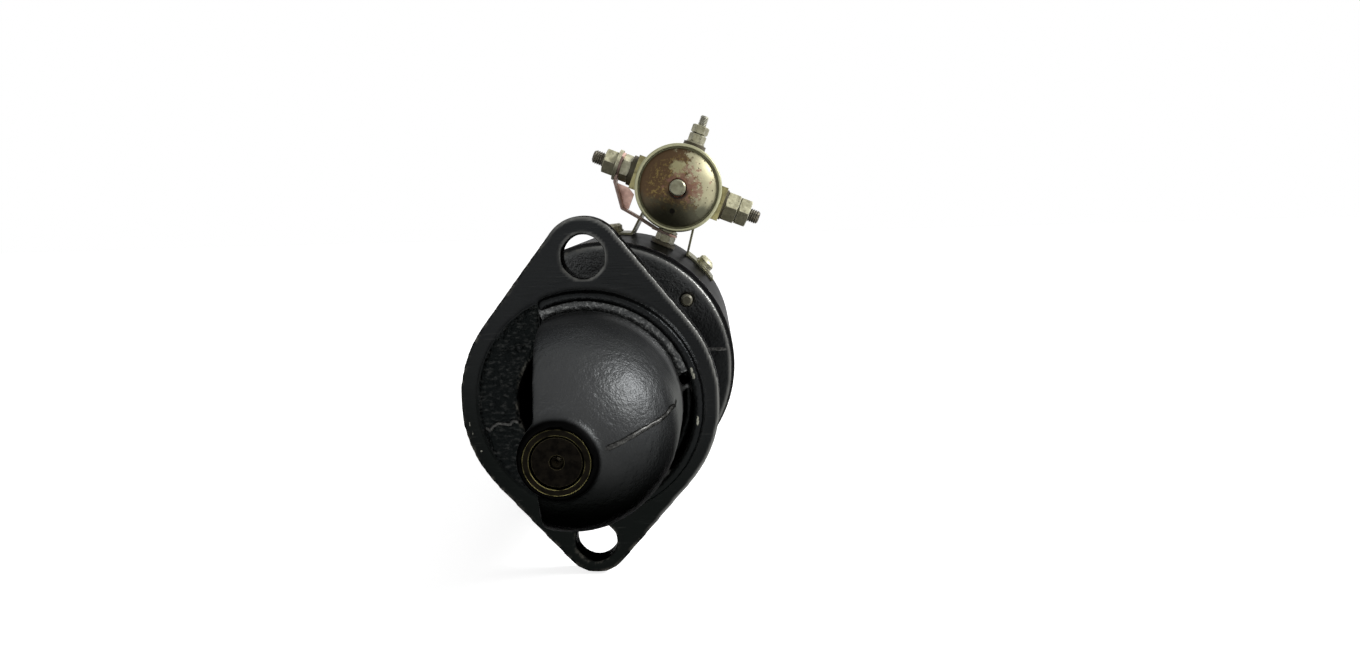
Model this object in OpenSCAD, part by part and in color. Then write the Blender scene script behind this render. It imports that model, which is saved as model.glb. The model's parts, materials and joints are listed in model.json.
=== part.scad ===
// Inertia-drive starter motor with a magnetic switch carried on its yoke.
// X runs to the right seen from the nose, Y runs along the shaft away from the nose, Z is up.
// The origin is on the shaft axis, in the front face of the mounting flange.

/* [Mounting flange] */
// Distance between the two mounting bolt holes
bolt_spacing = 127; // [115:0.5:155]
// Diameter of the mounting bolt holes
bolt_hole_d = 18.5; // [14:0.5:22]
// Thickness of the flange
flange_t = 10; // [8:0.5:14]
// Radius of the round middle of the flange
flange_r = 56.5; // [52:0.5:62]
// Radius of the upper bolt lobe
lobe_top_r = 17; // [14:0.5:20]
// Radius of the lower bolt lobe
lobe_bottom_r = 15; // [13:0.5:20]
// Diameter of the raised pilot rim that centres the motor
pilot_d = 98.5; // [94:0.5:102]
// Height of the pilot rim in front of the flange
pilot_h = 7; // [4:0.5:9]
// Wall of the pilot rim
pilot_wall = 4; // [3:0.5:5]
// Depth of the unmachined recess inside the pilot
recess_depth = 1.5; // [1:0.5:3]

/* [Nose] */
// Distance from the flange face to the tip of the nose
nose_len = 78; // [70:1:96]
// Outer diameter of the boss around the nose bush
nose_boss_d = 29; // [28:0.5:36]
// Length of the boss around the nose bush
nose_boss_len = 22; // [16:1:24]
// Outer radius of the dome where it meets the flange
dome_r = 40.5; // [37:0.5:43]
// Distance from the flange face to the end of the dome's curve
dome_len = 73.5; // [66:0.5:76]
// Fullness of the dome's curve, where more is squarer
dome_fullness = 4.5; // [2:0.1:6]
// Wall of the dome
dome_wall = 5; // [4:0.5:7]
// Bore through the flange into the drive chamber
mouth_d = 62; // [56:1:66]
// Distance of the pinion window's plane from the shaft axis
window_offset = 19.5; // [17:0.5:21]
// Lean of the window's plane towards the nose
window_draft = 8.5; // [6:0.5:9.5]
// Width of the relief slot between dome and pilot
slot_w = 4.4; // [2:0.2:4.6]

/* [Drum] */
// How far the drum stands in from the side of the yoke
drum_step = 1.5; // [0.5:0.5:4]
// Distance from the flange face to the front of the drum
drum_front = 69; // [66:1:80]
// Length of the drum between its front and the yoke
drum_len = 10; // [9:1:16]
// Outer diameter of the neck behind the flange
neck_d = 94; // [88:1:96]
// Bore of the neck
neck_bore_d = 78; // [76:1:80]
// Radius of the rounded front edge of the drum
drum_edge_r = 2; // [1:0.5:3]
// Thickness of the centre plate
plate_t = 7; // [5:0.5:9]

/* [Yoke and rear cover] */
// Outer diameter of the yoke
body_d = 131; // [129:1:158]
// Length of the yoke
yoke_len = 99; // [98:1:120]
// Wall of the yoke
yoke_wall = 6.5; // [5.5:0.5:8]
// How far the rear cover stands in from the side of the yoke
cover_step = 3.5; // [2:0.5:5]
// Length of the rear cover behind the yoke
cover_len = 38; // [36:1:46]
// Wall of the rear cover
cover_wall = 4; // [3:0.5:5]
// Diameter of the hub for the rear bush
hub_d = 30; // [28:1:36]
// Diameter of the two long bolts
through_bolt_d = 6; // [5:0.5:6.5]

/* [Shaft and bushes] */
// Diameter of the shaft in the nose bush and under the drive
shaft_d = 19; // [16:0.5:20]
// Diameter of the shaft in the centre bush
centre_journal_d = 22; // [21:0.5:25]
// Diameter of the shaft in the rear bush
rear_journal_d = 16; // [14:0.5:17]
// Wall of the bronze bushes
bush_wall = 2.2; // [1.6:0.1:3]
// Radial running clearance between shaft and bush
running_clearance = 0.05; // [0.02:0.01:0.1]

/* [Armature] */
// Diameter of the laminated core
core_d = 75; // [70:1:80]
// Length of the laminated core
core_len = 62; // [54:1:66]
// Number of winding slots
slot_count = 20; // [16:1:24]
// Air gap between the core and the pole shoes
air_gap = 0.7; // [0.5:0.1:1]
// Diameter of the commutator
commutator_d = 44; // [40:1:48]
// Number of commutator bars
bar_count = 28; // [20:2:36]

/* [Field] */
// Width of a pole body
pole_w = 28; // [24:1:30]
// Length of a pole shoe
pole_len = 60; // [54:1:64]
// Half of the angle that a pole shoe spans
pole_half_angle = 33; // [28:1:36]
// Turn of the poles to the left of the vertical
pole_clock = 8; // [6:1:10]
// Thickness of a field coil
coil_t = 9; // [6:0.5:9]
// Width of a field coil's side
coil_w = 9; // [6:0.5:9]

/* [Drive] */
// Number of pinion teeth
pinion_teeth = 10; // [9:1:11]
// Tooth module of the pinion
pinion_module = 3.1; // [3:0.05:3.2]
// Length of the pinion's teeth
pinion_len = 18; // [14:1:20]
// How far the pinion moves along the shaft
pinion_travel = 22; // [16:1:24]
// How far the resting pinion stands out of the flange face
pinion_rest = 6; // [2:1:12]
// Distance that the screw shaft's splines advance in one turn
spline_lead = 60; // [48:2:80]
// Outer diameter of the drive barrel
barrel_d = 48; // [44:1:52]

/* [Brushes] */
// Width of a brush across the commutator
brush_w = 14; // [10:1:16]
// Length of a brush along the shaft
brush_l = 15; // [12:0.5:15]
// Height of a brush from the commutator
brush_h = 18; // [14:1:20]
// How far a brush can be lifted against its spring
brush_lift = 8; // [5:0.5:9]

/* [Magnetic switch] */
// Turn of the switch to the right of the vertical
switch_clock = 22; // [18:1:26]
// Gap between the yoke and the switch can
switch_gap = 10.25; // [10:0.25:20]
// Distance from the flange face to the rim of the switch
switch_front = 118; // [112:1:124]
// Outer diameter of the switch can
can_d = 46.5; // [42:0.5:56]
// Length of the switch can
can_len = 64; // [62:1:76]
// Wall of the switch can and its cap
can_wall = 1.4; // [1:0.1:2]
// How far the cap bulges
cap_bulge = 10; // [6:0.5:12]
// Diameter of the push button
button_d = 9; // [6:0.2:10]
// How far the push button and plunger travel
button_travel = 3; // [2:0.5:3.5]
// Half of the width of the square blocks under the main studs
block_half = 9.7; // [8.5:0.1:10]
// How far these blocks stand out from the can
block_stand = 3.25; // [2.75:0.25:6]
// Diameter of the two main studs
stud_d = 8; // [7:0.5:9]
// How far the battery stud stands out from the can
stud_stand = 25.55; // [24:0.05:31]
// Diameter of the coil terminal stud
small_stud_d = 5; // [4:0.5:5.5]
// How far the coil terminal stud stands out from the can
small_stud_stand = 19.25; // [18:0.25:24]

/* [Switch bracket and motor terminal] */
// Thickness of the bracket's sheet
bracket_t = 1.3; // [1:0.1:2]
// Length of the bracket along the shaft
bracket_len = 27; // [24:1:30]
// Angle between the switch's middle plane and each row of bracket screws
foot_angle = 26; // [25:0.5:29]
// Turn of the motor terminal to the right of the vertical
terminal_clock = 24; // [22:0.5:27]
// Diameter of the motor terminal stud
terminal_d = 6; // [5:0.5:6.5]
// Thickness of the copper strap
strap_t = 1.3; // [1:0.1:1.5]

/* [Hidden] */
$fn = 72;
EPS = 0.01;

// Colours
PAINT = [0.10, 0.10, 0.10];
STEEL = [0.55, 0.55, 0.54];
BRONZE = [0.52, 0.43, 0.22];
COPPER = [0.72, 0.43, 0.28];
OLIVE = [0.62, 0.60, 0.42];
CARBON = [0.17, 0.17, 0.18];
PHENOLIC = [0.20, 0.14, 0.10];
RUBBER = [0.08, 0.08, 0.08];

// Places along the shaft
fit_gap = 0.1;
body_r = body_d / 2;
drum_r = body_r - drum_step;
drum_end = drum_front + drum_len;
yoke_r = body_r - yoke_wall;
yoke_end = drum_end + yoke_len;
cover_end = yoke_end + cover_len;
plate_front = drum_end - plate_t / 2 - 0.5;
plate_back = plate_front + plate_t;
shaft_r = shaft_d / 2;
bolt_circle_r = yoke_r - through_bolt_d / 2 - 1.5;
bolt_angles = [40.5, 220.5];
boss_inner_y = nose_boss_len - nose_len;
core_middle = drum_end + yoke_len / 2;
core_front = core_middle - core_len / 2;
core_back = core_middle + core_len / 2;

// ---- Shapes used by many pieces ----

// Turns a profile of [radius, place along the shaft] about the shaft axis
module turned() rotate([-90, 0, 0]) rotate_extrude() children();

module ring(r_out, r_in, y0, y1)
    turned() translate([r_in, y0]) square([r_out - r_in, y1 - y0]);

module disc(r, y0, y1) ring(r, 0, y0, y1);

// Raises an outline drawn as seen from the nose, from y0 back to y1
module slab(y0, y1)
    translate([0, y1, 0]) rotate([90, 0, 0]) linear_extrude(y1 - y0) children();

// Turns its children about the shaft axis, clockwise seen from the nose
module clocked(angle) rotate([0, angle, 0]) children();

// Places its children at a radius and an angle measured from +X towards +Z
module polar(r, angle)
    translate([r * cos(angle), 0, r * sin(angle)]) children();

// A rod that points along local +Z
module rod(r, z0, z1) translate([0, 0, z0]) cylinder(r = r, h = z1 - z0);

// A hexagon along local +Z with its corners turned down at both ends
module hex(across, z0, z1) intersection() {
    face_r = across / 2 * 0.97;
    reach = across * 0.13;
    drop = reach * tan(30);
    translate([0, 0, z0]) cylinder(r = across / 2 / cos(30), h = z1 - z0, $fn = 6);
    rotate_extrude() polygon([[0, z0], [face_r, z0], [face_r + reach, z0 + drop],
                              [face_r + reach, z1 - drop], [face_r, z1], [0, z1]]);
}

// Size across flats of small hexagons, as a share of the thread's diameter
across_per_d = 10 / 6;

// A hexagon nut along local +Z with its bore
module nut(across, bore_r, z0, z1) difference() {
    hex(across, z0, z1);
    rod(bore_r, z0 - EPS, z1 + EPS);
}

module washer(r_out, r_in, z0, z1) difference() {
    rod(r_out, z0, z1);
    rod(r_in, z0 - EPS, z1 + EPS);
}

function arc(cx, cy, r, a0, a1, n = 6) =
    [for (i = [0:n]) let (a = a0 + (a1 - a0) * i / n) [cx + r * cos(a), cy + r * sin(a)]];

// A pie slice for cutting rings, between two angles
module sector(r, a0, a1)
    polygon(concat([[0, 0]], arc(0, 0, r, a0, a1, max(2, ceil((a1 - a0) / 30)))));

// A coil spring along local +Z, as one swept tube
module coil_spring(r, wire_r, z0, z1, turns, sides = 8, steps = 14) {
    count = ceil(turns * steps);
    pitch_z = (z1 - z0 - 2 * wire_r) / count;
    rings = [for (i = [0:count]) let (a = 360 * i / steps)
        [for (s = [0:sides - 1]) let (b = 360 * s / sides)
            [(r + wire_r * cos(b)) * cos(a), (r + wire_r * cos(b)) * sin(a),
             z0 + wire_r + pitch_z * i + wire_r * sin(b)]]];
    points = [for (one = rings) for (p = one) p];
    sides_faces = [for (i = [0:count - 1]) for (s = [0:sides - 1])
        let (t = (s + 1) % sides, lo = i * sides, hi = (i + 1) * sides)
        each [[lo + s, hi + s, lo + t], [lo + t, hi + s, hi + t]]];
    ends = [[for (s = [0:sides - 1]) s], [for (s = [sides - 1:-1:0]) count * sides + s]];
    polyhedron(points, concat(sides_faces, ends));
}

// ---- Drive end ----

function tangent_band(big, small, d) =
    let (a = asin((big - small) / d))
    [[-big * cos(a), big * sin(a)], [big * cos(a), big * sin(a)],
     [small * cos(a), d + small * sin(a)], [-small * cos(a), d + small * sin(a)]];

module flange_outline() {
    circle(flange_r);
    for (lobe = [[lobe_top_r, 0], [lobe_bottom_r, 180]]) rotate(lobe[1]) {
        translate([0, bolt_spacing / 2]) circle(lobe[0]);
        polygon(tangent_band(flange_r, lobe[0], bolt_spacing / 2));
    }
}

boss_r = nose_boss_d / 2;
boss_edge_r = 3;
dome_steps = 20;
dome_exponent = 0.8;
rim_in_r = pilot_d / 2 - pilot_wall;
base_fillet = rim_in_r - dome_r;
fillet_floor = -3.4;

// A point of the dome's curve, from its base at 0 to its tip at 90 degrees
function dome_point(a, inset) =
    let (bulge = pow(max(0, 1 - pow(sin(a), dome_fullness)), dome_exponent))
    [boss_r + (dome_r - boss_r) * bulge - inset, -(dome_len - inset) * sin(a)];

// Outer skin of the dome, with the fillet that runs out to the pilot rim
module dome_profile() {
    start = asin((base_fillet - fillet_floor) / dome_len);
    fillet = [for (a = [90:-18:0])
        [dome_r + base_fillet - base_fillet * cos(a), fillet_floor - base_fillet + base_fillet * sin(a)]];
    skin = [for (i = [1:dome_steps]) dome_point(start + (90 - start) * i / dome_steps, 0)];
    polygon(concat([[0, recess_depth], [rim_in_r, recess_depth]], fillet, skin, [[0, -dome_len]]));
}

module cavity_profile() intersection() {
    polygon(concat([[0, recess_depth + EPS], [dome_r - dome_wall, recess_depth + EPS]],
                   [for (i = [0:dome_steps]) dome_point(90 * i / dome_steps, dome_wall)],
                   [[0, -(dome_len - dome_wall)]]));
    translate([0, boss_inner_y]) square([dome_r, dome_len]);
}

// Everything on the open side of the pinion window's plane
module window_side() {
    reach = 2 * dome_len;
    front = recess_depth - reach;
    translate([0, 0, -reach / 2]) linear_extrude(reach)
        polygon([[-window_offset, recess_depth], [reach * tan(window_draft) - window_offset, front],
                 [-reach, front], [-reach, recess_depth]]);
}

module relief_slots() {
    inner_r = rim_in_r - slot_w;
    slot_depth = 6;
    for (span = [[-40, 8.5], [12, 18]])
        slab(-pilot_h - 1, slot_depth) intersection() {
            difference() {
                circle(rim_in_r);
                circle(inner_r);
            }
            sector(2 * pilot_d, span[0], span[1]);
        }
}

module drum_profile() {
    neck_r = neck_d / 2;
    bore_r = neck_bore_d / 2;
    polygon(concat(
        [[mouth_d / 2, recess_depth], [mouth_d / 2, flange_t], [bore_r, flange_t], [bore_r, plate_front],
         [yoke_r, plate_front], [yoke_r, drum_end], [drum_r, drum_end]],
        arc(drum_r - drum_edge_r, drum_front + drum_edge_r, drum_edge_r, 0, -90),
        [[neck_r, drum_front], [neck_r, recess_depth]]));
}

module boss_profile() {
    polygon(concat([[0, boss_inner_y], [boss_r, boss_inner_y]],
                   arc(boss_r - boss_edge_r, boss_edge_r - nose_len, boss_edge_r, 0, -90),
                   [[0, -nose_len]]));
}

// Cast-iron housing: flange, pilot, open-sided dome and the drum behind
module drive_housing() color(PAINT) difference() {
    union() {
        difference() {
            slab(0, flange_t) flange_outline();
            disc(pilot_d / 2, -1, recess_depth);
            disc(mouth_d / 2, -1, flange_t + 1);
        }
        turned() drum_profile();
        difference() {
            union() {
                turned() dome_profile();
                ring(pilot_d / 2, rim_in_r - EPS, -pilot_h, recess_depth);
            }
            turned() cavity_profile();
            disc(mouth_d / 2, 0, recess_depth + 1);
            window_side();
        }
        turned() boss_profile();
    }
    relief_slots();
    disc(nose_bush_r, -nose_len - 1, boss_inner_y + 1);
    for (side = [-1, 1]) polar(bolt_spacing / 2, side * 90)
        rotate([-90, 0, 0]) rod(bolt_hole_d / 2, -1, flange_t + 1);
    for (a = bolt_angles) polar(bolt_circle_r, a)
        rotate([-90, 0, 0]) rod(through_bolt_d / 2 + fit_gap, drum_front - 1, drum_end + 1);
    for (a = plate_screw_angles) polar(plate_screw_circle, a)
        rotate([-90, 0, 0]) rod(plate_screw_r + fit_gap, plate_front - 12, plate_front + 1);
}

nose_bush_r = shaft_r + running_clearance + bush_wall;

// Bronze bush pressed into the nose
module nose_bush() color(BRONZE)
    ring(nose_bush_r, shaft_r + running_clearance, -nose_len, boss_inner_y);

plate_screw_angles = [90, 210, 330];
plate_screw_r = 1.5;
plate_screw_head_r = 3;
plate_screw_head_h = 2.4;
plate_screw_circle = (neck_d + neck_bore_d) / 4;
centre_bush_r = centre_journal_d / 2 + running_clearance + bush_wall;

// Plate that carries the middle of the shaft and centres drum and yoke on each other
module centre_plate() color(STEEL) difference() {
    disc(yoke_r - fit_gap, plate_front, plate_back);
    disc(centre_bush_r, plate_front - 1, plate_back + 1);
    for (a = bolt_angles) polar(bolt_circle_r, a)
        rotate([-90, 0, 0]) rod(through_bolt_d / 2 + fit_gap, plate_front - 1, plate_back + 1);
    for (a = plate_screw_angles) polar(plate_screw_circle, a) rotate([-90, 0, 0]) {
        rod(plate_screw_r + fit_gap, plate_front - 1, plate_back + 1);
        rod(plate_screw_head_r + fit_gap, plate_back - plate_screw_head_h, plate_back + 1);
    }
}

module centre_bush() color(BRONZE)
    ring(centre_bush_r, centre_journal_d / 2 + running_clearance, plate_front - 1, plate_back + 1);

// A slotted screw head that faces local +Z
module slotted_head(r, z0, h, slot) {
    dome_h = h * 0.35;
    difference() {
        union() {
            rod(r, z0, z0 + h - dome_h);
            translate([0, 0, z0 + h - dome_h]) cylinder(r1 = r, r2 = r * 0.7, h = dome_h);
        }
        translate([-r - 1, -slot / 2, z0 + h * 0.45]) cube([2 * r + 2, slot, h]);
    }
}

module centre_plate_screws() color(STEEL)
    for (a = plate_screw_angles) polar(plate_screw_circle, a) rotate([-90, 0, 0]) {
        rod(plate_screw_r, plate_front - 10, plate_back - plate_screw_head_h);
        slotted_head(plate_screw_head_r, plate_back - plate_screw_head_h, plate_screw_head_h, 1.2);
    }

// ---- Yoke and field ----

pole_angles = [for (i = [0:3]) i * 90 - pole_clock];
pole_screw_r = 4;
pole_screw_head_r = 7.5;
pole_screw_head_h = 3.5;

// Bracket screws stand in two rows, two screws in each
bracket_front = switch_front + 27;
foot_screw_ys = [bracket_front + 6, bracket_front + bracket_len - 6];
foot_screw_r = 2.9;
stud_y = switch_front + 13;
terminal_y = stud_y;
insulator_wall = 1.8;

module foot_screw_places()
    for (side = [-1, 1], y = foot_screw_ys)
        translate([0, y, 0]) clocked(switch_clock + side * foot_angle) children();

module terminal_place() translate([0, terminal_y, 0]) clocked(terminal_clock) children();

// Steel tube that carries the poles
module yoke() color(PAINT) difference() {
    ring(body_r, yoke_r, drum_end, yoke_end);
    for (a = pole_angles) translate([0, core_middle, 0]) clocked(a) {
        rod(pole_screw_r + fit_gap, yoke_r - 2, body_r + 1);
        rod(pole_screw_head_r + fit_gap, body_r - pole_screw_head_h, body_r + 1);
    }
    foot_screw_places() rod(foot_screw_r + fit_gap, yoke_r - 1, body_r + 1);
    terminal_place() rod(terminal_d / 2 + insulator_wall + fit_gap, yoke_r - 2, body_r + 1);
}

pole_in_r = core_d / 2 + air_gap;
shoe_t = 4.5;
pole_screw_tip = pole_in_r + shoe_t + 1;

// Places a piece that is drawn with its pole along +Z
module at_poles() for (a = pole_angles) translate([0, core_middle, 0]) clocked(a) children();

module pole_shoes() color(STEEL) at_poles() difference() {
    union() {
        slab(-pole_len / 2, pole_len / 2) intersection() {
            circle(yoke_r - fit_gap);
            translate([-pole_w / 2, pole_in_r + 1]) square([pole_w, yoke_r]);
        }
        slab(-pole_len / 2, pole_len / 2) intersection() {
            difference() {
                circle(pole_in_r + shoe_t);
                circle(pole_in_r);
            }
            sector(2 * pole_in_r, 90 - pole_half_angle, 90 + pole_half_angle);
        }
    }
    rod(pole_screw_r + fit_gap, pole_screw_tip - 0.5, yoke_r + 1);
}

module pole_screws() color(PAINT) at_poles() difference() {
    union() {
        rod(pole_screw_r, pole_screw_tip, body_r - pole_screw_head_h);
        rod(pole_screw_head_r, body_r - pole_screw_head_h, body_r - 0.4);
    }
    translate([-pole_screw_head_r - 1, -1, body_r - 2]) cube([2 * pole_screw_head_r + 2, 2, 3]);
}

coil_gap = 0.4;
coil_base = pole_in_r + shoe_t + coil_gap;
coil_side = pole_w / 2 + coil_gap + coil_w;

// Flat coils of copper strip, one round each pole
module field_coils() color(COPPER) at_poles() {
    in_w = pole_w / 2 + coil_gap;
    in_l = pole_len / 2 + coil_gap;
    translate([0, 0, coil_base]) difference() {
        translate([-in_w - coil_w, -in_l - coil_w, 0])
            cube([2 * (in_w + coil_w), 2 * (in_l + coil_w), coil_t]);
        translate([-in_w, -in_l, -1]) cube([2 * in_w, 2 * in_l, coil_t + 2]);
    }
}

// ---- Rear cover ----

cover_r = body_r - cover_step;
cover_in_r = cover_r - cover_wall;
cover_edge_r = 3;
end_wall_t = 5;
wall_front = cover_end - end_wall_t;
hub_r = hub_d / 2;
rear_bush_r = rear_journal_d / 2 + running_clearance + bush_wall;
rear_bush_front = wall_front - 6;
rear_bush_back = rear_bush_front + 14;
hub_end = rear_bush_back + 4;
brush_middle = rear_bush_front - 11;
plate_post_t = 3.5;
brush_plate_t = 2.5;
brush_plate_back = wall_front - plate_post_t;
brush_plate_front = brush_plate_back - brush_plate_t;
brush_angles = [0, 90, 180, 270];
post_circle_r = 47;
post_angles = [30, 150, 210, 330];
post_r = 4;
plate_fix_r = 2;
inspection_w = 22;

module cover_profile() {
    register_l = 3;
    polygon(concat(
        [[cover_in_r, yoke_end - register_l], [yoke_r - fit_gap, yoke_end - register_l],
         [yoke_r - fit_gap, yoke_end], [cover_r, yoke_end]],
        arc(cover_r - cover_edge_r, cover_end - cover_edge_r, cover_edge_r, 0, 90),
        [[hub_r, cover_end], [hub_r, hub_end - 2], [hub_r - 2, hub_end], [0, hub_end],
         [0, rear_bush_back + 0.5], [rear_bush_r, rear_bush_back + 0.5], [rear_bush_r, rear_bush_front],
         [hub_r, rear_bush_front], [hub_r, wall_front], [cover_in_r, wall_front]]));
}

// End cover with the rear bearing and four inspection windows
module rear_cover() color(PAINT) difference() {
    union() {
        turned() cover_profile();
        for (a = post_angles) polar(post_circle_r, a)
            rotate([-90, 0, 0]) rod(post_r, brush_plate_back, wall_front + 1);
    }
    for (a = brush_angles) rotate([0, -a, 0])
        translate([cover_in_r - 2, brush_middle - brush_l / 2, -inspection_w / 2])
            cube([cover_wall + 4, brush_l, inspection_w]);
    for (a = bolt_angles) polar(bolt_circle_r, a)
        rotate([-90, 0, 0]) rod(through_bolt_d / 2 + fit_gap, yoke_end - 4, cover_end + 1);
    for (a = post_angles) polar(post_circle_r, a)
        rotate([-90, 0, 0]) rod(plate_fix_r + fit_gap, brush_plate_back - 1, brush_plate_back + 6);
}

module rear_bush() color(BRONZE)
    ring(rear_bush_r, rear_journal_d / 2 + running_clearance, rear_bush_front, rear_bush_back);

band_t = 1;
band_w = 19;
band_r = cover_r + fit_gap;
lug_gap = 8;
lug_h = 9;
band_screw_r = 2;
band_screw_z = band_r + band_t + lug_h / 2;

// Sheet band that closes the inspection windows, with its ends bent out as lugs
module cover_band() color(PAINT) {
    y0 = brush_middle - band_w / 2;
    difference() {
        union() {
            ring(band_r + band_t, band_r, y0, y0 + band_w);
            for (side = [-1, 1]) translate([side * (lug_gap / 2 + band_t / 2) - band_t / 2, y0,
                                            -band_r - band_t - lug_h])
                cube([band_t, band_w, lug_h + 0.8]);
        }
        translate([-lug_gap / 2, y0 - 1, -band_r - band_t - lug_h - 1])
            cube([lug_gap, band_w + 2, lug_h + 6]);
        translate([-lug_gap, brush_middle, -band_screw_z])
            rotate([0, 90, 0]) rod(band_screw_r + fit_gap, 0, 2 * lug_gap);
    }
}

module band_screw() color(STEEL) translate([0, brush_middle, -band_screw_z]) rotate([0, 90, 0]) {
    outside = lug_gap / 2 + band_t;
    slotted_head(3.6, outside, 2.6, 1);
    rod(band_screw_r, -outside - 6, outside);
    nut(7, band_screw_r, -outside - 3.2, -outside);
}

bolt_head_h = 4;
bolt_tip = 3;
bolt_washer_t = 1.2;
bolt_chamfer = 0.8;

// Two long bolts that clamp the cover and the yoke to the drum
module through_bolts() color(STEEL)
    for (a = bolt_angles) polar(bolt_circle_r, a) rotate([-90, 0, 0]) {
        head_seat = cover_end + bolt_washer_t;
        tip = drum_front - bolt_tip;
        rod(through_bolt_d / 2, tip + bolt_chamfer, cover_end);
        translate([0, 0, tip])
            cylinder(r1 = through_bolt_d / 2 - bolt_chamfer, r2 = through_bolt_d / 2, h = bolt_chamfer);
        washer(through_bolt_d * 0.85, through_bolt_d / 2 - EPS, cover_end, head_seat);
        hex(through_bolt_d * across_per_d, head_seat - EPS, head_seat + bolt_head_h);
    }

core_seat_r = centre_journal_d / 2 + 1;
washer_t = 1.4;

module thrust_washers() color(BRONZE) {
    front = plate_back + 1 + fit_gap;
    ring(centre_journal_d / 2 + 6, centre_journal_d / 2 + fit_gap, front, front + washer_t);
    ring(rear_journal_d / 2 + 5, rear_journal_d / 2 + fit_gap,
         rear_bush_front - fit_gap - washer_t, rear_bush_front - fit_gap);
}

// ---- Armature ----

core_seat_front = plate_back + 1 + washer_t + 2 * fit_gap;
rear_shoulder = rear_bush_front - washer_t - 2 * fit_gap;
shoulder_y = drum_end - 6;
shaft_tip = -nose_len + 0.6;
commutator_front = core_back + 11;
commutator_back = rear_shoulder - 0.5;

module armature_shaft() color(STEEL) difference() {
    tip_chamfer = 0.8;
    turned() polygon([
        [0, shaft_tip], [shaft_r - tip_chamfer, shaft_tip], [shaft_r, shaft_tip + tip_chamfer],
        [shaft_r, shoulder_y], [centre_journal_d / 2, shoulder_y],
        [centre_journal_d / 2, core_seat_front], [core_seat_r, core_seat_front],
        [core_seat_r, commutator_front], [centre_journal_d / 2, commutator_front],
        [centre_journal_d / 2, rear_shoulder], [rear_journal_d / 2, rear_shoulder],
        [rear_journal_d / 2, rear_bush_back], [0, rear_bush_back]]);
    turned() polygon([[0, shaft_tip - 1], [2.6, shaft_tip - 1], [2.6, shaft_tip], [0.9, shaft_tip + 3],
                      [0.9, shaft_tip + 5], [0, shaft_tip + 5]]);
    translate([0, head_pin_y, 0]) rod(drive_pin_r, -shaft_r - 1, shaft_r + 1);
}

wire_slot_w = core_d * 0.055;
wire_slot_d = 11;
core_bore_r = core_seat_r;

module slot_places() for (i = [0:slot_count - 1]) rotate([0, 360 * i / slot_count, 0]) children();

module armature_core() color(STEEL) difference() {
    ring(core_d / 2, core_bore_r, core_front, core_back);
    slot_places() translate([core_d / 2 - wire_slot_d, core_front - 1, -wire_slot_w / 2])
        cube([wire_slot_d + 1, core_len + 2, wire_slot_w]);
}

// Winding heads at both ends, joined by the bars that lie in the slots
module armature_windings() color(COPPER) {
    head_in = core_d / 2 - wire_slot_d - 2;
    head_out = core_d / 2 - 1.5;
    bar_w = wire_slot_w - 2 * fit_gap;
    union() {
        ring(head_out, head_in, core_front - 6, core_front);
        ring(head_out, head_in, core_back, commutator_front);
        slot_places() translate([core_d / 2 - wire_slot_d + fit_gap, core_front - 1, -bar_w / 2])
            cube([wire_slot_d - 2, core_len + 2, bar_w]);
    }
}

commutator_in_r = centre_journal_d / 2 + 3;

module commutator_hub() color(PHENOLIC)
    ring(commutator_in_r, centre_journal_d / 2, commutator_front, commutator_back);

module commutator() color(COPPER) difference() {
    riser_w = 3;
    gap_w = 0.6;
    gap_d = 0.9;
    union() {
        ring(commutator_d / 2, commutator_in_r, commutator_front, commutator_back);
        ring(commutator_d / 2 + 4, commutator_in_r, commutator_front, commutator_front + riser_w);
    }
    for (i = [0:bar_count - 1]) rotate([0, 360 * (i + 0.5) / bar_count, 0])
        translate([commutator_d / 2 - gap_d, commutator_front + riser_w, -gap_w / 2])
            cube([gap_d + 1, commutator_back, gap_w]);
}

// ---- Drive ----

shaft_fit_r = shaft_r + running_clearance;
barrel_r = barrel_d / 2;
barrel_wall = 3;
pinion_front = -pinion_rest;
barrel_front = pinion_front + pinion_len;
nut_t = 5;
stop_t = 3;
drive_washer_t = 1.5;
spring_room = 3.5;
barrel_len = barrel_wall + drive_washer_t + stop_t + pinion_travel + spring_room + nut_t + 2.2;
barrel_back = barrel_front + barrel_len;
screw_front = barrel_front + barrel_wall + drive_washer_t + 0.3;
nut_back = barrel_back - 2.2;
nut_front = nut_back - nut_t;
screw_r = shaft_fit_r + 3.4;
spline_count = 4;
spline_w = 3.2;
spline_d = 1.3;
spline_slack = 0.4;
screw_flange_front = barrel_back + 0.6;
screw_flange_t = 3;
cushion_front = screw_flange_front + screw_flange_t;
head_back = plate_front - 3;
head_wall = 3;
cushion_back = head_back - head_wall;
head_pin_y = cushion_back - 3;
drive_pin_r = 2.2;
cushion_r = barrel_r - 2;
head_sleeve_r = shaft_r + 4;

// Cup pinned to the shaft, which drives the rubber cushion
module drive_head() color(STEEL) difference() {
    turned() polygon([
        [shaft_r, cushion_front + 1], [head_sleeve_r, cushion_front + 1], [head_sleeve_r, cushion_back],
        [cushion_r, cushion_back], [cushion_r, cushion_front], [cushion_r + head_wall, cushion_front],
        [cushion_r + head_wall, head_back], [shaft_r, head_back]]);
    translate([0, head_pin_y, 0]) rod(drive_pin_r, -cushion_r - 5, cushion_r + 5);
}

module drive_pin() color(STEEL)
    translate([0, head_pin_y, 0]) rod(drive_pin_r, -head_sleeve_r - 2, head_sleeve_r + 2);

// Rubber ring between the screw shaft and the head
module drive_cushion() color(RUBBER) difference() {
    ring(cushion_r - fit_gap, head_sleeve_r + fit_gap, cushion_front, cushion_back);
    translate([0, head_pin_y, 0]) rod(drive_pin_r + fit_gap, -head_sleeve_r - 2.2, head_sleeve_r + 2.2);
}

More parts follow.
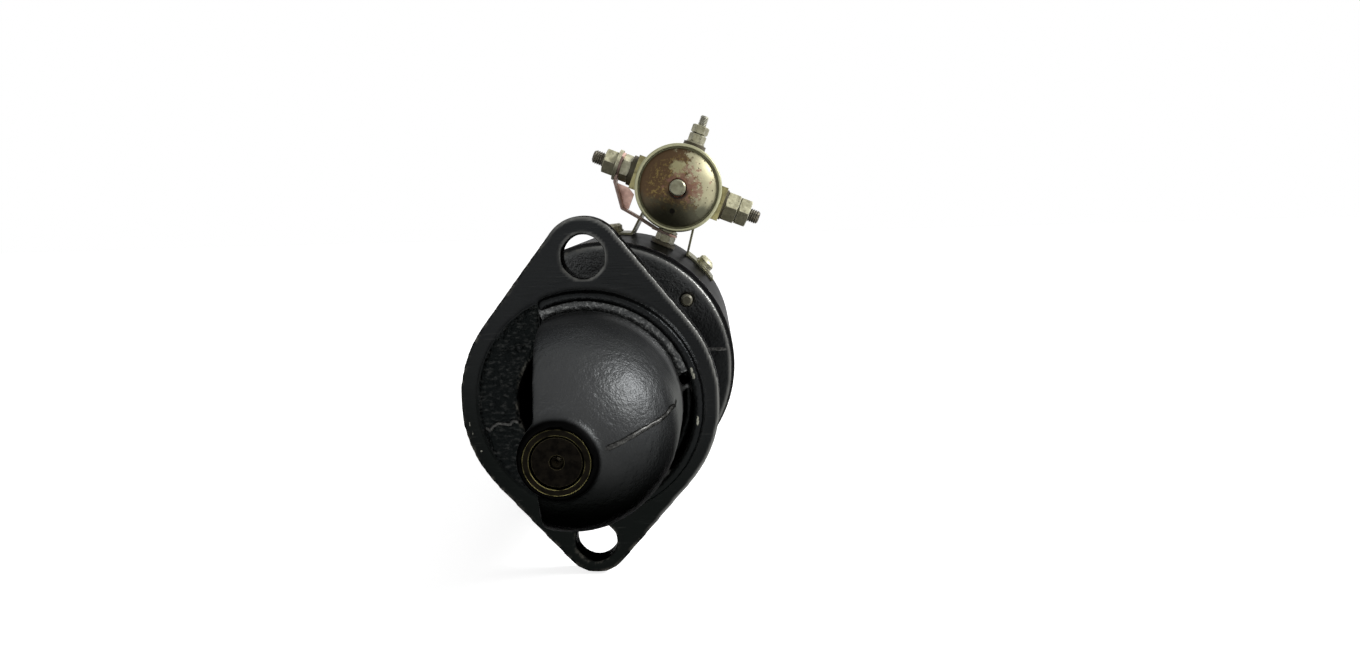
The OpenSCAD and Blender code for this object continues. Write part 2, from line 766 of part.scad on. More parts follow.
// Helical splines, as grooves when wide and as the nut's teeth when narrow
module helix(r_in, r_out, w, y0, y1) {
    turn_angle = 360 * (y1 - y0) / spline_lead;
    slices = ceil(turn_angle / 15);
    for (i = [0:spline_count - 1])
        translate([0, y0, 0]) rotate([-90, 0, 0])
            rotate([0, 0, 360 * y0 / spline_lead + 360 * i / spline_count])
                linear_extrude(y1 - y0, twist = -turn_angle, slices = slices, segments = 4)
                    translate([r_in, -w / 2]) square([r_out - r_in, w]);
}

module screw_shaft() color(STEEL) {
    difference() {
        ring(screw_r, shaft_fit_r, screw_front, cushion_front);
        helix(screw_r - spline_d, screw_r + 1, spline_w, screw_front + stop_t, barrel_back);
    }
    ring(screw_r + 3, screw_r - EPS, screw_front, screw_front + stop_t);
    ring(cushion_r + 1, screw_r - EPS, screw_flange_front, cushion_front);
}

module control_nut() color(STEEL) {
    bore_r = screw_r + 0.25;
    tooth_w = spline_w - 2 * spline_slack;
    ring(barrel_r - barrel_wall - fit_gap / 2, bore_r, nut_front, nut_back);
    intersection() {
        helix(screw_r - spline_d + 0.3, bore_r + 0.5, tooth_w, nut_front - 1, nut_back + 1);
        ring(bore_r + 1, shaft_r, nut_front, nut_back);
    }
}

module barrel_ring() color(STEEL)
    ring(barrel_r - barrel_wall - fit_gap / 2, screw_r + 1, nut_back, nut_back + 1.4);

module drive_washer() color(STEEL) {
    front = barrel_front + barrel_wall;
    ring(screw_r + 2, shaft_fit_r, front + 0.05, front + drive_washer_t);
}

module anti_drift_spring() color(STEEL) {
    wire_r = 0.45;
    rotate([-90, 0, 0]) coil_spring(screw_r + 1.1, wire_r, screw_front + stop_t, nut_front, 3);
}

pitch_r = pinion_teeth * pinion_module / 2;
tip_r = pitch_r + 0.95 * pinion_module;
root_r = pitch_r - 1.05 * pinion_module;

// One gear tooth as a trapezoid with its sides relieved towards the tip
function tooth_points(i) =
    let (c = 360 * i / pinion_teeth, half = 360 / pinion_teeth)
    [for (p = [[root_r, -0.36], [pitch_r, -0.25], [tip_r, -0.11],
               [tip_r, 0.11], [pitch_r, 0.25], [root_r, 0.36]])
        [p[0] * cos(c + p[1] * half), p[0] * sin(c + p[1] * half)]];

// Pinion in one piece with the barrel that holds the control nut
module pinion() color(STEEL) {
    lead_in = 2;
    difference() {
        union() {
            intersection() {
                slab(pinion_front, barrel_front + EPS)
                    polygon([for (i = [0:pinion_teeth - 1]) each tooth_points(i)]);
                turned() polygon([[0, pinion_front], [tip_r - lead_in, pinion_front],
                                  [tip_r, pinion_front + lead_in], [tip_r + 1, barrel_front + 1],
                                  [0, barrel_front + 1]]);
            }
            ring(barrel_r, shaft_fit_r, barrel_front, barrel_back);
        }
        disc(shaft_fit_r, pinion_front - 1, barrel_front + barrel_wall + 1);
        disc(barrel_r - barrel_wall, barrel_front + barrel_wall, barrel_back + 1);
    }
}

// ---- Brush gear ----

brush_foot = commutator_d / 2 + 0.1;
brush_top = brush_foot + brush_h;
box_clearance = 0.3;
box_wall = 1.5;
box_in = commutator_d / 2 + 3.5;
box_out = cover_in_r - 2;
spring_seat = box_out - box_wall;

module brush_plate() color(STEEL) difference() {
    ring(cover_in_r - 2, hub_r + 2, brush_plate_front, brush_plate_back);
    for (a = post_angles) polar(post_circle_r, a)
        rotate([-90, 0, 0]) rod(plate_fix_r + fit_gap, brush_plate_front - 1, brush_plate_back + 1);
    for (a = bolt_angles) polar(bolt_circle_r, a)
        rotate([-90, 0, 0]) rod(through_bolt_d / 2 + 1, brush_plate_front - 1, brush_plate_back + 1);
}

module brush_plate_screws() color(STEEL)
    for (a = post_angles) polar(post_circle_r, a) rotate([90, 0, 0]) {
        rod(plate_fix_r, -brush_plate_back - 5, -brush_plate_front);
        slotted_head(3.5, -brush_plate_front, 2.4, 1);
    }

// Turns a brush or its holder, drawn along +X, to its own place
module at_brush(i) rotate([0, -brush_angles[i], 0]) children();

module brush_holders() color(STEEL)
    for (i = [0:3]) at_brush(i) difference() {
        half_w = brush_w / 2 + box_clearance;
        y0 = brush_middle - brush_l / 2 - box_clearance;
        y1 = brush_middle + brush_l / 2 + box_clearance;
        translate([box_in, y0 - box_wall, -half_w - box_wall])
            cube([box_out - box_in, brush_plate_front - y0 + box_wall, 2 * (half_w + box_wall)]);
        translate([box_in - 1, y0, -half_w]) cube([spring_seat - box_in + 1, y1 - y0, 2 * half_w]);
    }

module brush(i) color(CARBON) at_brush(i) difference() {
    translate([brush_foot - 2, brush_middle - brush_l / 2, -brush_w / 2])
        cube([brush_h + 2, brush_l, brush_w]);
    disc(brush_foot, brush_middle - brush_l, brush_middle + brush_l);
}

module brush_1() brush(0);
module brush_2() brush(1);
module brush_3() brush(2);
module brush_4() brush(3);

module brush_spring(i) color(STEEL) at_brush(i)
    translate([0, brush_middle, 0]) rotate([0, 90, 0])
        coil_spring(4.5, 0.55, brush_top + 0.05, spring_seat - 0.05, 4);

module brush_spring_1() brush_spring(0);
module brush_spring_2() brush_spring(1);
module brush_spring_3() brush_spring(2);
module brush_spring_4() brush_spring(3);

// ---- Motor terminal ----

insulator_r = 7.2;
inner_washer_top = sqrt(yoke_r * yoke_r - insulator_r * insulator_r) - 0.1;
inner_washer_t = 2;
lead_top = inner_washer_top - inner_washer_t;
lead_t = 1.5;
outer_washer_t = 2;
terminal_nut_z = body_r + outer_washer_t;
terminal_nut_h = 4.4;
terminal_strap_z = terminal_nut_z + terminal_nut_h;
terminal_jam_h = 1.8;
terminal_end = terminal_strap_z + strap_t + terminal_jam_h + 0.3;
terminal_across = terminal_d * across_per_d;
terminal_head_r = terminal_d / 2 + 1.2;
terminal_head_t = 2;

module motor_terminal() color(COPPER) terminal_place() {
    rod(terminal_d / 2, lead_top - lead_t, terminal_end);
    rod(terminal_head_r, lead_top - lead_t - terminal_head_t, lead_top - lead_t);
}

// Insulating bush through the yoke, with a washer at each side
module terminal_insulator() color(PHENOLIC) terminal_place() difference() {
    union() {
        rod(insulator_r, body_r, body_r + outer_washer_t);
        rod(terminal_d / 2 + insulator_wall, inner_washer_top - 1, body_r + 1);
        rod(insulator_r, inner_washer_top - inner_washer_t, inner_washer_top);
    }
    rod(terminal_d / 2, inner_washer_top - inner_washer_t - 1, body_r + outer_washer_t + 1);
}

module terminal_nuts() color(STEEL) terminal_place() {
    nut(terminal_across, terminal_d / 2, terminal_nut_z, terminal_strap_z);
    nut(terminal_across, terminal_d / 2, terminal_strap_z + strap_t,
        terminal_strap_z + strap_t + terminal_jam_h);
}

// Copper bar from the terminal to the nearest field coil
module field_lead() color(COPPER) terminal_place() difference() {
    eye_r = terminal_d / 2 + 3.6;
    lead_turn = terminal_clock + pole_clock;
    eye_mid = lead_top - lead_t / 2;
    joined_r = eye_r - 1.6;
    bar_t = 2;
    bar_start = [coil_side + bar_t / 2, coil_base + coil_t / 2 + bar_t / 2];
    bar_end = [eye_mid * sin(lead_turn) - joined_r * cos(lead_turn),
               eye_mid * cos(lead_turn) + joined_r * sin(lead_turn)];
    union() {
        rod(eye_r, lead_top - lead_t, lead_top);
        clocked(-lead_turn) slab(-4, 4) {
            translate(bar_start) square(bar_t, center = true);
            thick_line(bar_start, bar_end, bar_t);
        }
    }
    rod(terminal_d / 2, lead_top - lead_t - 1, lead_top + 1);
    rod(terminal_head_r + fit_gap, lead_top - lead_t - terminal_head_t, lead_top - lead_t);
}

// ---- Magnetic switch ----

can_r = can_d / 2;
switch_height = body_r + switch_gap + can_r;
block_reach = can_r + block_stand;
stud_reach = can_r + stud_stand;
small_stud_reach = can_r + small_stud_stand;
can_front = switch_front + 1;
can_back = can_front + can_len;
rim_r = can_r + 1;
rim_skirt = 4;
small_block_reach = can_r + 1;
stud_bush_r = stud_d / 2 + 2;

// Local frame of the switch: its axis along Y at the origin, +Z away from the motor
module at_switch() clocked(switch_clock) translate([0, 0, switch_height]) children();

// Points its children, drawn along +Z, along a direction of the switch at the studs' place
module stud_side(angle) translate([0, stud_y, 0]) clocked(angle) children();

module can_profile() {
    edge = 3;
    polygon(concat(
        [[can_r - can_wall, can_front], [can_r, can_front]],
        arc(can_r - edge, can_back - edge, edge, 0, 90),
        [[0, can_back], [0, can_back - can_wall], [can_r - can_wall, can_back - can_wall]]));
}

// Deep-drawn can with the square blocks that carry the studs
module switch_can() color(OLIVE) at_switch() difference() {
    union() {
        turned() can_profile();
        difference() {
            union() {
                for (a = [-90, 90]) stud_side(a)
                    translate([-block_half, -block_half, 0])
                        cube([2 * block_half, 2 * block_half, block_reach]);
                stud_side(0) rod(small_stud_d / 2 + 3.5, 0, small_block_reach);
            }
            disc(can_r - can_wall, can_front, can_back - 1);
        }
    }
    for (a = [-90, 90]) stud_side(a) rod(stud_bush_r + fit_gap, 5, block_reach + 1);
    stud_side(0) rod(small_stud_d / 2 + 1.5 + fit_gap, 5, small_block_reach + 1);
}

cap_sphere_r = (pow(can_r, 2) + pow(cap_bulge, 2)) / (2 * cap_bulge);
cap_apex = switch_front - cap_bulge;
button_hole_r = button_d / 2 + 0.6;

module cap_section(r, bulge_r) intersection() {
    translate([0, cap_apex + cap_sphere_r]) circle(r);
    translate([0, cap_apex - 1]) square([bulge_r, cap_bulge + 1]);
}

// Domed cap with a rolled rim, pressed over the mouth of the can
module switch_cap() color(OLIVE) at_switch() turned() difference() {
    union() {
        difference() {
            cap_section(cap_sphere_r, can_r);
            translate([0, EPS]) cap_section(cap_sphere_r - can_wall, can_r);
        }
        translate([can_r - can_wall, switch_front - can_wall]) square([can_wall, 1 + can_wall]);
        translate([can_r + fit_gap, switch_front - can_wall]) square([rim_r - can_r - fit_gap, rim_skirt]);
        translate([can_r, switch_front - can_wall]) circle(can_wall * 0.8);
    }
    translate([0, cap_apex - 2]) square([button_hole_r, 2 * cap_bulge]);
}

insulator_step = 1.3;
left_washer = 3;

module stud_insulators() color(PHENOLIC) at_switch() {
    for (side = [[90, insulator_step], [-90, left_washer]]) stud_side(side[0]) difference() {
        union() {
            rod(stud_bush_r, can_r - can_wall - 3, block_reach);
            rod(block_half - 1, block_reach, block_reach + side[1]);
        }
        rod(stud_d / 2, 0, block_reach + side[1] + 1);
    }
    stud_side(0) difference() {
        union() {
            rod(small_stud_d / 2 + 1.5, can_r - can_wall - 3, small_block_reach);
            rod(small_stud_d / 2 + 4, small_block_reach, small_block_reach + 2);
        }
        rod(small_stud_d / 2, 0, small_block_reach + 3);
    }
}

stud_head_in = 7;
stud_head_t = 4;
head_half = 4.5;

// A main stud with its square contact head inside the can
module main_stud(angle, reach) color(STEEL) at_switch() stud_side(angle) {
    rod(stud_d / 2, stud_head_in, reach);
    translate([-6, -head_half, stud_head_in]) cube([12, 2 * head_half, stud_head_t]);
}

module battery_stud() main_stud(90, stud_reach);
module motor_stud() main_stud(-90, stud_reach + strap_t + 2 * eye_washer_t);

right_nut_start = block_reach + insulator_step;
left_nut_start = block_reach + left_washer;
left_inner_nut_h = 5.4;
strap_eye = left_nut_start + left_inner_nut_h;
eye_washer_t = 1;
eye_washer_r = stud_d / 2 + 4.9;
eye_stack_end = strap_eye + strap_t + 2 * eye_washer_t;
left_nut_end = eye_stack_end + 7;
stud_across = stud_d * 1.7;

// Gap that keeps stacked nuts and washers separate pieces
stack_gap = 0.05;

// Nuts on the main studs, with the washers that clamp the strap on the left one
module stud_nuts() color(STEEL) at_switch() {
    right_inner_nut_h = 7.8;
    right_outer_nut_h = 6.6;
    right_mid = right_nut_start + right_inner_nut_h;
    stud_side(90) rotate([0, 0, 30]) {
        nut(stud_across + 2.4, stud_d / 2, right_nut_start, right_mid);
        nut(stud_across + 1.4, stud_d / 2, right_mid + 0.3, right_mid + 0.3 + right_outer_nut_h);
    }
    stud_side(-90) {
        nut(stud_across, stud_d / 2, left_nut_start, strap_eye);
        washer(eye_washer_r, stud_d / 2, strap_eye + strap_t, eye_stack_end - eye_washer_t - stack_gap);
        washer(eye_washer_r, stud_d / 2, eye_stack_end - eye_washer_t, eye_stack_end - stack_gap);
        rotate([0, 0, 30]) nut(stud_across, stud_d / 2, eye_stack_end, left_nut_end);
    }
}

module coil_stud() color(STEEL) at_switch() stud_side(0)
    rod(small_stud_d / 2, can_r - can_wall - 5, small_stud_reach);

module coil_stud_nuts() color(STEEL) at_switch() stud_side(0) {
    across = small_stud_d * 1.7;
    nut_h = 4.6;
    start = small_block_reach + 2;
    washer(small_stud_d / 2 + 2.8, small_stud_d / 2, start, start + 1 - stack_gap);
    nut(across, small_stud_d / 2, start + 1, start + 1 + nut_h);
    nut(across, small_stud_d / 2, start + 1.3 + nut_h, start + 1.3 + 2 * nut_h);
}

// Strap from the left stud, down beside the switch and under it to the motor terminal
strap_front = terminal_y - 6;
strap_back = terminal_y + 6;
blade_x = -(strap_eye + strap_t / 2);
blade_low = -9.6;
bend = [3.25 - can_r - 6.5, 1.25 - can_r];
fold = [8.5 - can_r, -can_r - 0.6];

module thick_line(from, to, t) {
    d = to - from;
    n = [-d[1], d[0]] * (t / 2 / norm(d));
    polygon([from - n, to - n, to + n, from + n]);
}

module copper_strap() color(COPPER) {
    clock_shift = terminal_clock - switch_clock;
    end_r = terminal_strap_z + strap_t / 2;
    end_x = end_r * sin(clock_shift);
    end_z = end_r * cos(clock_shift) - switch_height;
    difference() {
        union() {
            at_switch() {
                stud_side(-90) rod(stud_d / 2 + 4, strap_eye, strap_eye + strap_t);
                slab(strap_front, strap_back) {
                    thick_line([blade_x, 0], [blade_x, blade_low], strap_t);
                    thick_line([blade_x, blade_low + 0.4], bend, strap_t);
                    thick_line(bend + [-0.3, 0.1], fold, strap_t);
                    thick_line(fold + [-0.3, 0], [end_x - 6.5, end_z + 0.2], strap_t);
                }
                slab(strap_back - strap_t, strap_back)
                    polygon([[blade_x, blade_low], bend, bend + [3, 0.6], [-can_r - 0.2, blade_low - 3],
                             [-block_reach - 1.2, blade_low - 0.3]]);
            }
            terminal_place() difference() {
                union() {
                    rod(terminal_d / 2 + 3, terminal_strap_z, terminal_strap_z + strap_t);
                    translate([-9, -6, terminal_strap_z]) cube([9, 12, strap_t]);
                }
                rod(terminal_d / 2, terminal_strap_z - 1, terminal_strap_z + 2 * strap_t);
            }
        }
        at_switch() stud_side(-90) rod(stud_d / 2, strap_eye - 1, strap_eye + strap_t + 1);
    }
}

// ---- Bracket ----

leg_top_x = 15.5;
leg_foot_x = 17.7;
foot_end_angle = foot_angle + 8;
foot_in_r = body_r + fit_gap;

module bracket_outline() {
    saddle_r = can_r + fit_gap + bracket_t;
    saddle_half = asin(leg_top_x / (can_r + bracket_t / 2));
    translate([0, switch_height]) intersection() {
        difference() {
            circle(saddle_r);
            circle(can_r + fit_gap);
        }
        sector(2 * saddle_r, -90 - saddle_half - 2, -90 + saddle_half + 2);
    }
    leg_top = switch_height - sqrt(pow(can_r + bracket_t / 2, 2) - pow(leg_top_x, 2));
    foot_mid_r = foot_in_r + bracket_t / 2;
    leg_foot = sqrt(pow(foot_mid_r, 2) - pow(leg_foot_x, 2));
    foot_start_angle = asin(leg_foot_x / foot_mid_r);
    foot_turn = (foot_end_angle + foot_start_angle) / 2;
    foot_half = (foot_end_angle - foot_start_angle) / 2 + 0.35;
    for (side = [-1, 1]) {
        thick_line([side * leg_top_x, leg_top], [side * leg_foot_x, leg_foot], bracket_t);
        intersection() {
            difference() {
                circle(foot_in_r + bracket_t);
                circle(foot_in_r);
            }
            sector(2 * body_r, 90 - side * foot_turn - foot_half, 90 - side * foot_turn + foot_half);
        }
    }
}

// Sheet saddle that carries the switch on two curved feet
module switch_bracket() color(OLIVE) difference() {
    clocked(switch_clock) slab(bracket_front, bracket_front + bracket_len) bracket_outline();
    foot_screw_places() rod(foot_screw_r + fit_gap, body_r - 1, foot_in_r + bracket_t + 1);
}

module bracket_screws() color(OLIVE) foot_screw_places() {
    seat = foot_in_r + bracket_t;
    rod(foot_screw_r, yoke_r + 0.3, seat + 1);
    washer(5.4, foot_screw_r - EPS, seat, seat + 1);
    slotted_head(4.8, seat + 1, 3.8, 1.4);
}

// ---- Inside the switch ----

coil_front = can_front + 25;
bobbin_in_r = 8.6;
plunger_r = 8;
plunger_front = coil_front + 1;
plunger_back = can_back - can_wall - 16;
core_gap = button_travel + 3;
core_start = plunger_back + core_gap;
rod_r = 2.6;
disc_t = 2.4;
disc_back = stud_y - head_half - button_travel - fit_gap;

module switch_coil() color(COPPER) at_switch()
    ring(can_r - can_wall - 1.2, bobbin_in_r, coil_front, can_back - can_wall);

module switch_core() color(STEEL) at_switch() {
    disc(bobbin_in_r - 0.2, core_start, can_back - can_wall);
}

// Plunger, its rod and the push button on the rod's front end
module plunger() color(STEEL) at_switch() {
    button_back = cap_apex + 3;
    disc(plunger_r, plunger_front, plunger_back);
    button_front = cap_apex - button_travel - 0.6;
    disc(rod_r, button_back - 1, plunger_front + 1);
    turned() polygon([[0, button_front], [button_d / 2 - 0.8, button_front],
                      [button_d / 2, button_front + 0.8], [button_d / 2, button_back], [0, button_back]]);
}

module contact_disc() color(COPPER) at_switch()
    ring(12.5, rod_r, disc_back - disc_t, disc_back);

module return_spring() color(STEEL) at_switch() rotate([-90, 0, 0])
    coil_spring(5, 0.5, plunger_back + 0.05, core_start + 0.05, 2);

drive_housing();
nose_bush();
centre_plate();
centre_bush();
centre_plate_screws();
yoke();
pole_shoes();
pole_screws();
field_coils();
rear_cover();
rear_bush();
cover_band();
band_screw();
through_bolts();
thrust_washers();
armature_shaft();
armature_core();
armature_windings();
commutator_hub();
commutator();
drive_head();
drive_pin();
drive_cushion();
screw_shaft();
drive_washer();
pinion();
control_nut();
barrel_ring();
anti_drift_spring();
brush_plate();
brush_plate_screws();
brush_holders();
brush_1();
brush_2();
brush_3();
brush_4();
brush_spring_1();
brush_spring_2();
brush_spring_3();
brush_spring_4();
motor_terminal();
terminal_insulator();
terminal_nuts();
field_lead();
switch_bracket();
bracket_screws();
switch_can();
switch_cap();
stud_insulators();
battery_stud();
motor_stud();
stud_nuts();
coil_stud();
coil_stud_nuts();
copper_strap();
switch_coil();
switch_core();
plunger();
contact_disc();
return_spring();
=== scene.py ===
import json
import math

import bmesh
import bpy
import numpy as np
from mathutils import Matrix, Vector


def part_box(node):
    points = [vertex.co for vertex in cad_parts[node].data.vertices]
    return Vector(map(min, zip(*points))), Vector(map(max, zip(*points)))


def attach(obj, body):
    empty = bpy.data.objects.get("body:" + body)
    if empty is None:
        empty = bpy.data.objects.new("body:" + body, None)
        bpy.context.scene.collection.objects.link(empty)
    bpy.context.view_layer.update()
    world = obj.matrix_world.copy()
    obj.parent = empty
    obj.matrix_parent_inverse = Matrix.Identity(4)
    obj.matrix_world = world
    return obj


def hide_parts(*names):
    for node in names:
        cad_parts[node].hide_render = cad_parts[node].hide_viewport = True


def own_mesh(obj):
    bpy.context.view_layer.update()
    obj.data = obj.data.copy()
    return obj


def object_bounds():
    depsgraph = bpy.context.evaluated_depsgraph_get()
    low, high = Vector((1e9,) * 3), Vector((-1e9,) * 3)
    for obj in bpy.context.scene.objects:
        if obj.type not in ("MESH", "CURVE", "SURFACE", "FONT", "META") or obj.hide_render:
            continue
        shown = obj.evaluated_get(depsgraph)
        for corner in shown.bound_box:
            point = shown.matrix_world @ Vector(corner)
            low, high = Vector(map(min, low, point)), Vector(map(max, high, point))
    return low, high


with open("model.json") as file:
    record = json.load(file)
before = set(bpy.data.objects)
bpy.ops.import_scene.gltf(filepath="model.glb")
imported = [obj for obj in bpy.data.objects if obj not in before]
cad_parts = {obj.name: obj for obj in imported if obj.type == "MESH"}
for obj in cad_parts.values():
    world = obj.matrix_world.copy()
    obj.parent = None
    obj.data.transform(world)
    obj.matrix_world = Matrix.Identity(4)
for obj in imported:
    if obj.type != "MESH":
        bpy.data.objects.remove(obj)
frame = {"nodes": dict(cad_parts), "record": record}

cad_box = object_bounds()
node = frame["nodes"]

# ---- Drive housing ----
# One grey-iron sand casting: flange, pilot rim, open-sided dome and the drum behind.
# Only the flange's front and the rim's lip are machined, and satin black enamel covers all of it.
# The casting's skin is a fine grid laid over the exact solid, eased at its edges and roughened.

SKIN_GRID = 0.00105
SKIN_EASING = 3
EDGE_EASING = 2
PILOT_R = 0.04925
FLOOR_DEPTH = 0.0015
MOUTH_R = 0.031
TROUGH_R = 0.0441
TROUGH_Y = -0.0036
FILLET_R = 0.0418
FILLET_Y = -0.0052
FILLET_EASING = 30
WARTS = [(-0.0295, 0.0252, 0.0016, 0.0014), (-0.0350, 0.0247, 0.0012, 0.0010),
         (-0.0252, 0.0238, 0.0012, 0.0011), (-0.0362, 0.0310, 0.0013, 0.0008)]
EDGE_SHEEN = (0.2, 0.2, 0.2, 1.0)


def merged_copy(name, cad_node):
    """A new mesh object with the triangles of a CAD node joined edge to edge."""
    shell = bmesh.new()
    shell.from_mesh(node[cad_node].data)
    bmesh.ops.remove_doubles(shell, verts=shell.verts, dist=2e-7)
    mesh = bpy.data.meshes.new(name)
    shell.to_mesh(mesh)
    shell.free()
    piece = bpy.data.objects.new(name, mesh)
    bpy.context.scene.collection.objects.link(piece)
    return piece


def settled(piece):
    """Puts the result of the piece's modifiers into its mesh."""
    graph = bpy.context.evaluated_depsgraph_get()
    mesh = bpy.data.meshes.new_from_object(piece.evaluated_get(graph))
    piece.modifiers.clear()
    piece.data = mesh
    return piece


def places(piece):
    """The piece's points as an array of one row each."""
    flat = np.empty(len(piece.data.vertices) * 3, np.float32)
    piece.data.vertices.foreach_get("co", flat)
    return flat.reshape(-1, 3).astype(float)


def put(piece, points):
    """Moves the piece's points to these places."""
    piece.data.vertices.foreach_set("co", points.astype(np.float32).ravel())
    piece.data.update()


def outward(piece):
    """The unit normal at each point."""
    flat = np.empty(len(piece.data.vertices) * 3, np.float32)
    piece.data.vertex_normals.foreach_get("vector", flat)
    return flat.reshape(-1, 3).astype(float)


def eased(points, edges, rounds, share=0.5):
    """Moves each point towards the mean of its neighbours, round after round."""
    a, b = edges[:, 0], edges[:, 1]
    count = np.bincount(a, minlength=len(points)) + np.bincount(b, minlength=len(points))
    for _ in range(rounds):
        total = np.zeros_like(points)
        for axis in range(3):
            total[:, axis] = (np.bincount(a, points[b, axis], len(points))
                              + np.bincount(b, points[a, axis], len(points)))
        points = points + share * (total / count[:, None] - points)
    return points


def lumps(points, size, seed):
    """Smooth noise from -1 to 1: random values at the corners of cubes of this size,
    blended across each cube by the smoothstep of the place inside it."""
    cell = np.floor(points / size).astype(np.int64)
    part = points / size - cell
    part = part * part * (3 - 2 * part)
    total = np.zeros(len(points))
    for corner in np.ndindex(2, 2, 2):
        c = cell + corner
        mix = (c[:, 0] * 73856093) ^ (c[:, 1] * 19349663) ^ (c[:, 2] * 83492791) ^ (seed * 2654435761)
        mix = ((mix ^ (mix >> 13)) * 1274126177) & 0xFFFFFFFF
        value = (mix ^ (mix >> 16)) % 65536 / 32767.5 - 1
        total += value * np.prod(np.where(corner, part, 1 - part), axis=1)
    return total


def between(value, low, high):
    """0 below low, 1 above high, and smooth in between."""
    t = np.clip((value - low) / (high - low), 0, 1)
    return t * t * (3 - 2 * t)


def within(value, middle, inner, outer):
    """1 within inner of the middle, 0 beyond outer, and smooth in between."""
    return between(-np.abs(value - middle), -outer, -inner)


def smooth(piece):
    """Shades the piece's faces as one round surface."""
    piece.data.polygons.foreach_set("use_smooth", np.ones(len(piece.data.polygons), bool))
    piece.data.update()
    return piece


def blob(x, z, at_x, at_z, reach):
    """1 at a place on the flange and 0 beyond reach, as a bell curve of the distance."""
    return np.exp(-(((x - at_x) ** 2 + (z - at_z) ** 2) / reach ** 2))


def near_line(x, z, start, end, reach):
    """1 on a line across the flange and 0 beyond reach, as a bell curve of the distance."""
    start, end = np.array(start), np.array(end)
    along = end - start
    share = np.clip(((x - start[0]) * along[0] + (z - start[1]) * along[1]) / (along @ along), 0, 1)
    return np.exp(-(((x - start[0] - share * along[0]) ** 2
                     + (z - start[1] - share * along[1]) ** 2) / reach ** 2))


def note(piece, name, values):
    """Stores one number at each point, for the finish to read."""
    layer = piece.data.attributes.new(name, "FLOAT", "POINT")
    layer.data.foreach_set("value", np.clip(values, 0, 1).astype(np.float32))


housing = merged_copy("housing_casting", "drive_housing")
laid = housing.modifiers.new("skin", "REMESH")
laid.mode, laid.voxel_size, laid.adaptivity = "VOXEL", SKIN_GRID, 0
settled(housing)
links = np.empty(len(housing.data.edges) * 2, np.int32)
housing.data.edges.foreach_get("vertices", links)
links = links.reshape(-1, 2)
skin = eased(places(housing), links, SKIN_EASING)
x, y, z = skin.T
from_shaft = np.hypot(x, z)
turn = np.degrees(np.arctan2(z, x))
fillet = (within(from_shaft, FILLET_R, 0.0026, 0.0042) * within(y, FILLET_Y, 0.0036, 0.0052)
          * between(turn, 22, 32) * between(-turn, -122, -114))
skin = skin + fillet[:, None] * (eased(skin, links, FILLET_EASING) - skin)
put(housing, skin)
facing = outward(housing)
around = eased(skin, links, 3, 1.0)
convex = ((skin - around) * facing).sum(1) / SKIN_GRID
convex = eased(np.stack([convex] * 3, axis=1), links, EDGE_EASING)[:, 0]
x, y, z = skin.T
from_shaft = np.hypot(x, z)
floor = within(y, FLOOR_DEPTH, 0.0006, 0.0012) * between(-from_shaft, -PILOT_R, -PILOT_R + 0.001)
dome = between(-y, 0.004, 0.010)
side = between(from_shaft, 0.045, 0.050) * between(y, 0.008, 0.014)
trough = within(from_shaft, TROUGH_R, 0.0006, 0.0016) * within(y, TROUGH_Y, 0.001, 0.0022)
warts = sum(height * blob(x, z, at_x, at_z, reach) for at_x, at_z, reach, height in WARTS)
ripples = 0.00032 * lumps(skin, 0.0044, 3) + 0.00024 * lumps(skin * (0.5, 1, 1), 0.0024, 4)
rise = (dome * (0.00009 * lumps(skin, 0.0034, 1) + 0.00005 * lumps(skin, 0.0017, 2))
        + floor * (ripples + warts)
        + side * 0.00007 * lumps(skin, 0.0036, 5)
        + trough * 0.0004 * (0.2 + lumps(skin, 0.0021, 6)))
put(housing, skin + facing * rise[:, None])
flange_chips = (0.7 * near_line(x, z, (-0.0534, -0.0062), (-0.0520, -0.0128), 0.0006)
                + 0.9 * blob(x, z, -0.0486, -0.0208, 0.0009))
lip_chips = (near_line(x, z, (0.0446, 0.0160), (0.0456, 0.0120), 0.0008)
             + near_line(x, z, (0.0468, -0.0050), (0.0466, -0.0085), 0.0006))
chipped = flange_chips * between(-y, -0.002, 0) + lip_chips * between(-y, 0.0045, 0.0062)
note(housing, "sharp", between(convex, 0.09, 0.26))
note(housing, "chipped", chipped)
note(housing, "hollow", 0.7 * between(-convex, 0.05, 0.25) + 0.35 * trough)
smooth(housing)


class Flow:
    """A value running through a finish. Arithmetic on it adds the Math nodes that do the sum."""

    def __init__(self, finish, socket):
        self.finish, self.socket = finish, socket

    def _sum(self, operation, first, second):
        """The value of a new Math node fed by these two."""
        return self.finish.node("ShaderNodeMath", {"operation": operation}, {0: first, 1: second})

    def __add__(self, other):
        return self._sum("ADD", self, other)

    __radd__ = __add__

    def __sub__(self, other):
        return self._sum("SUBTRACT", self, other)

    def __rsub__(self, other):
        return self._sum("SUBTRACT", other, self)

    def __mul__(self, other):
        return self._sum("MULTIPLY", self, other)

    __rmul__ = __mul__

    def __abs__(self):
        return self._sum("ABSOLUTE", self, 0.0)

    def step(self, low, high):
        """0 below low, 1 above high, and smooth in between; low may be the larger."""
        return self.finish.node("ShaderNodeMapRange", {"interpolation_type": "SMOOTHSTEP"},
                                {0: self, 1: low, 2: high, 3: 0.0, 4: 1.0})


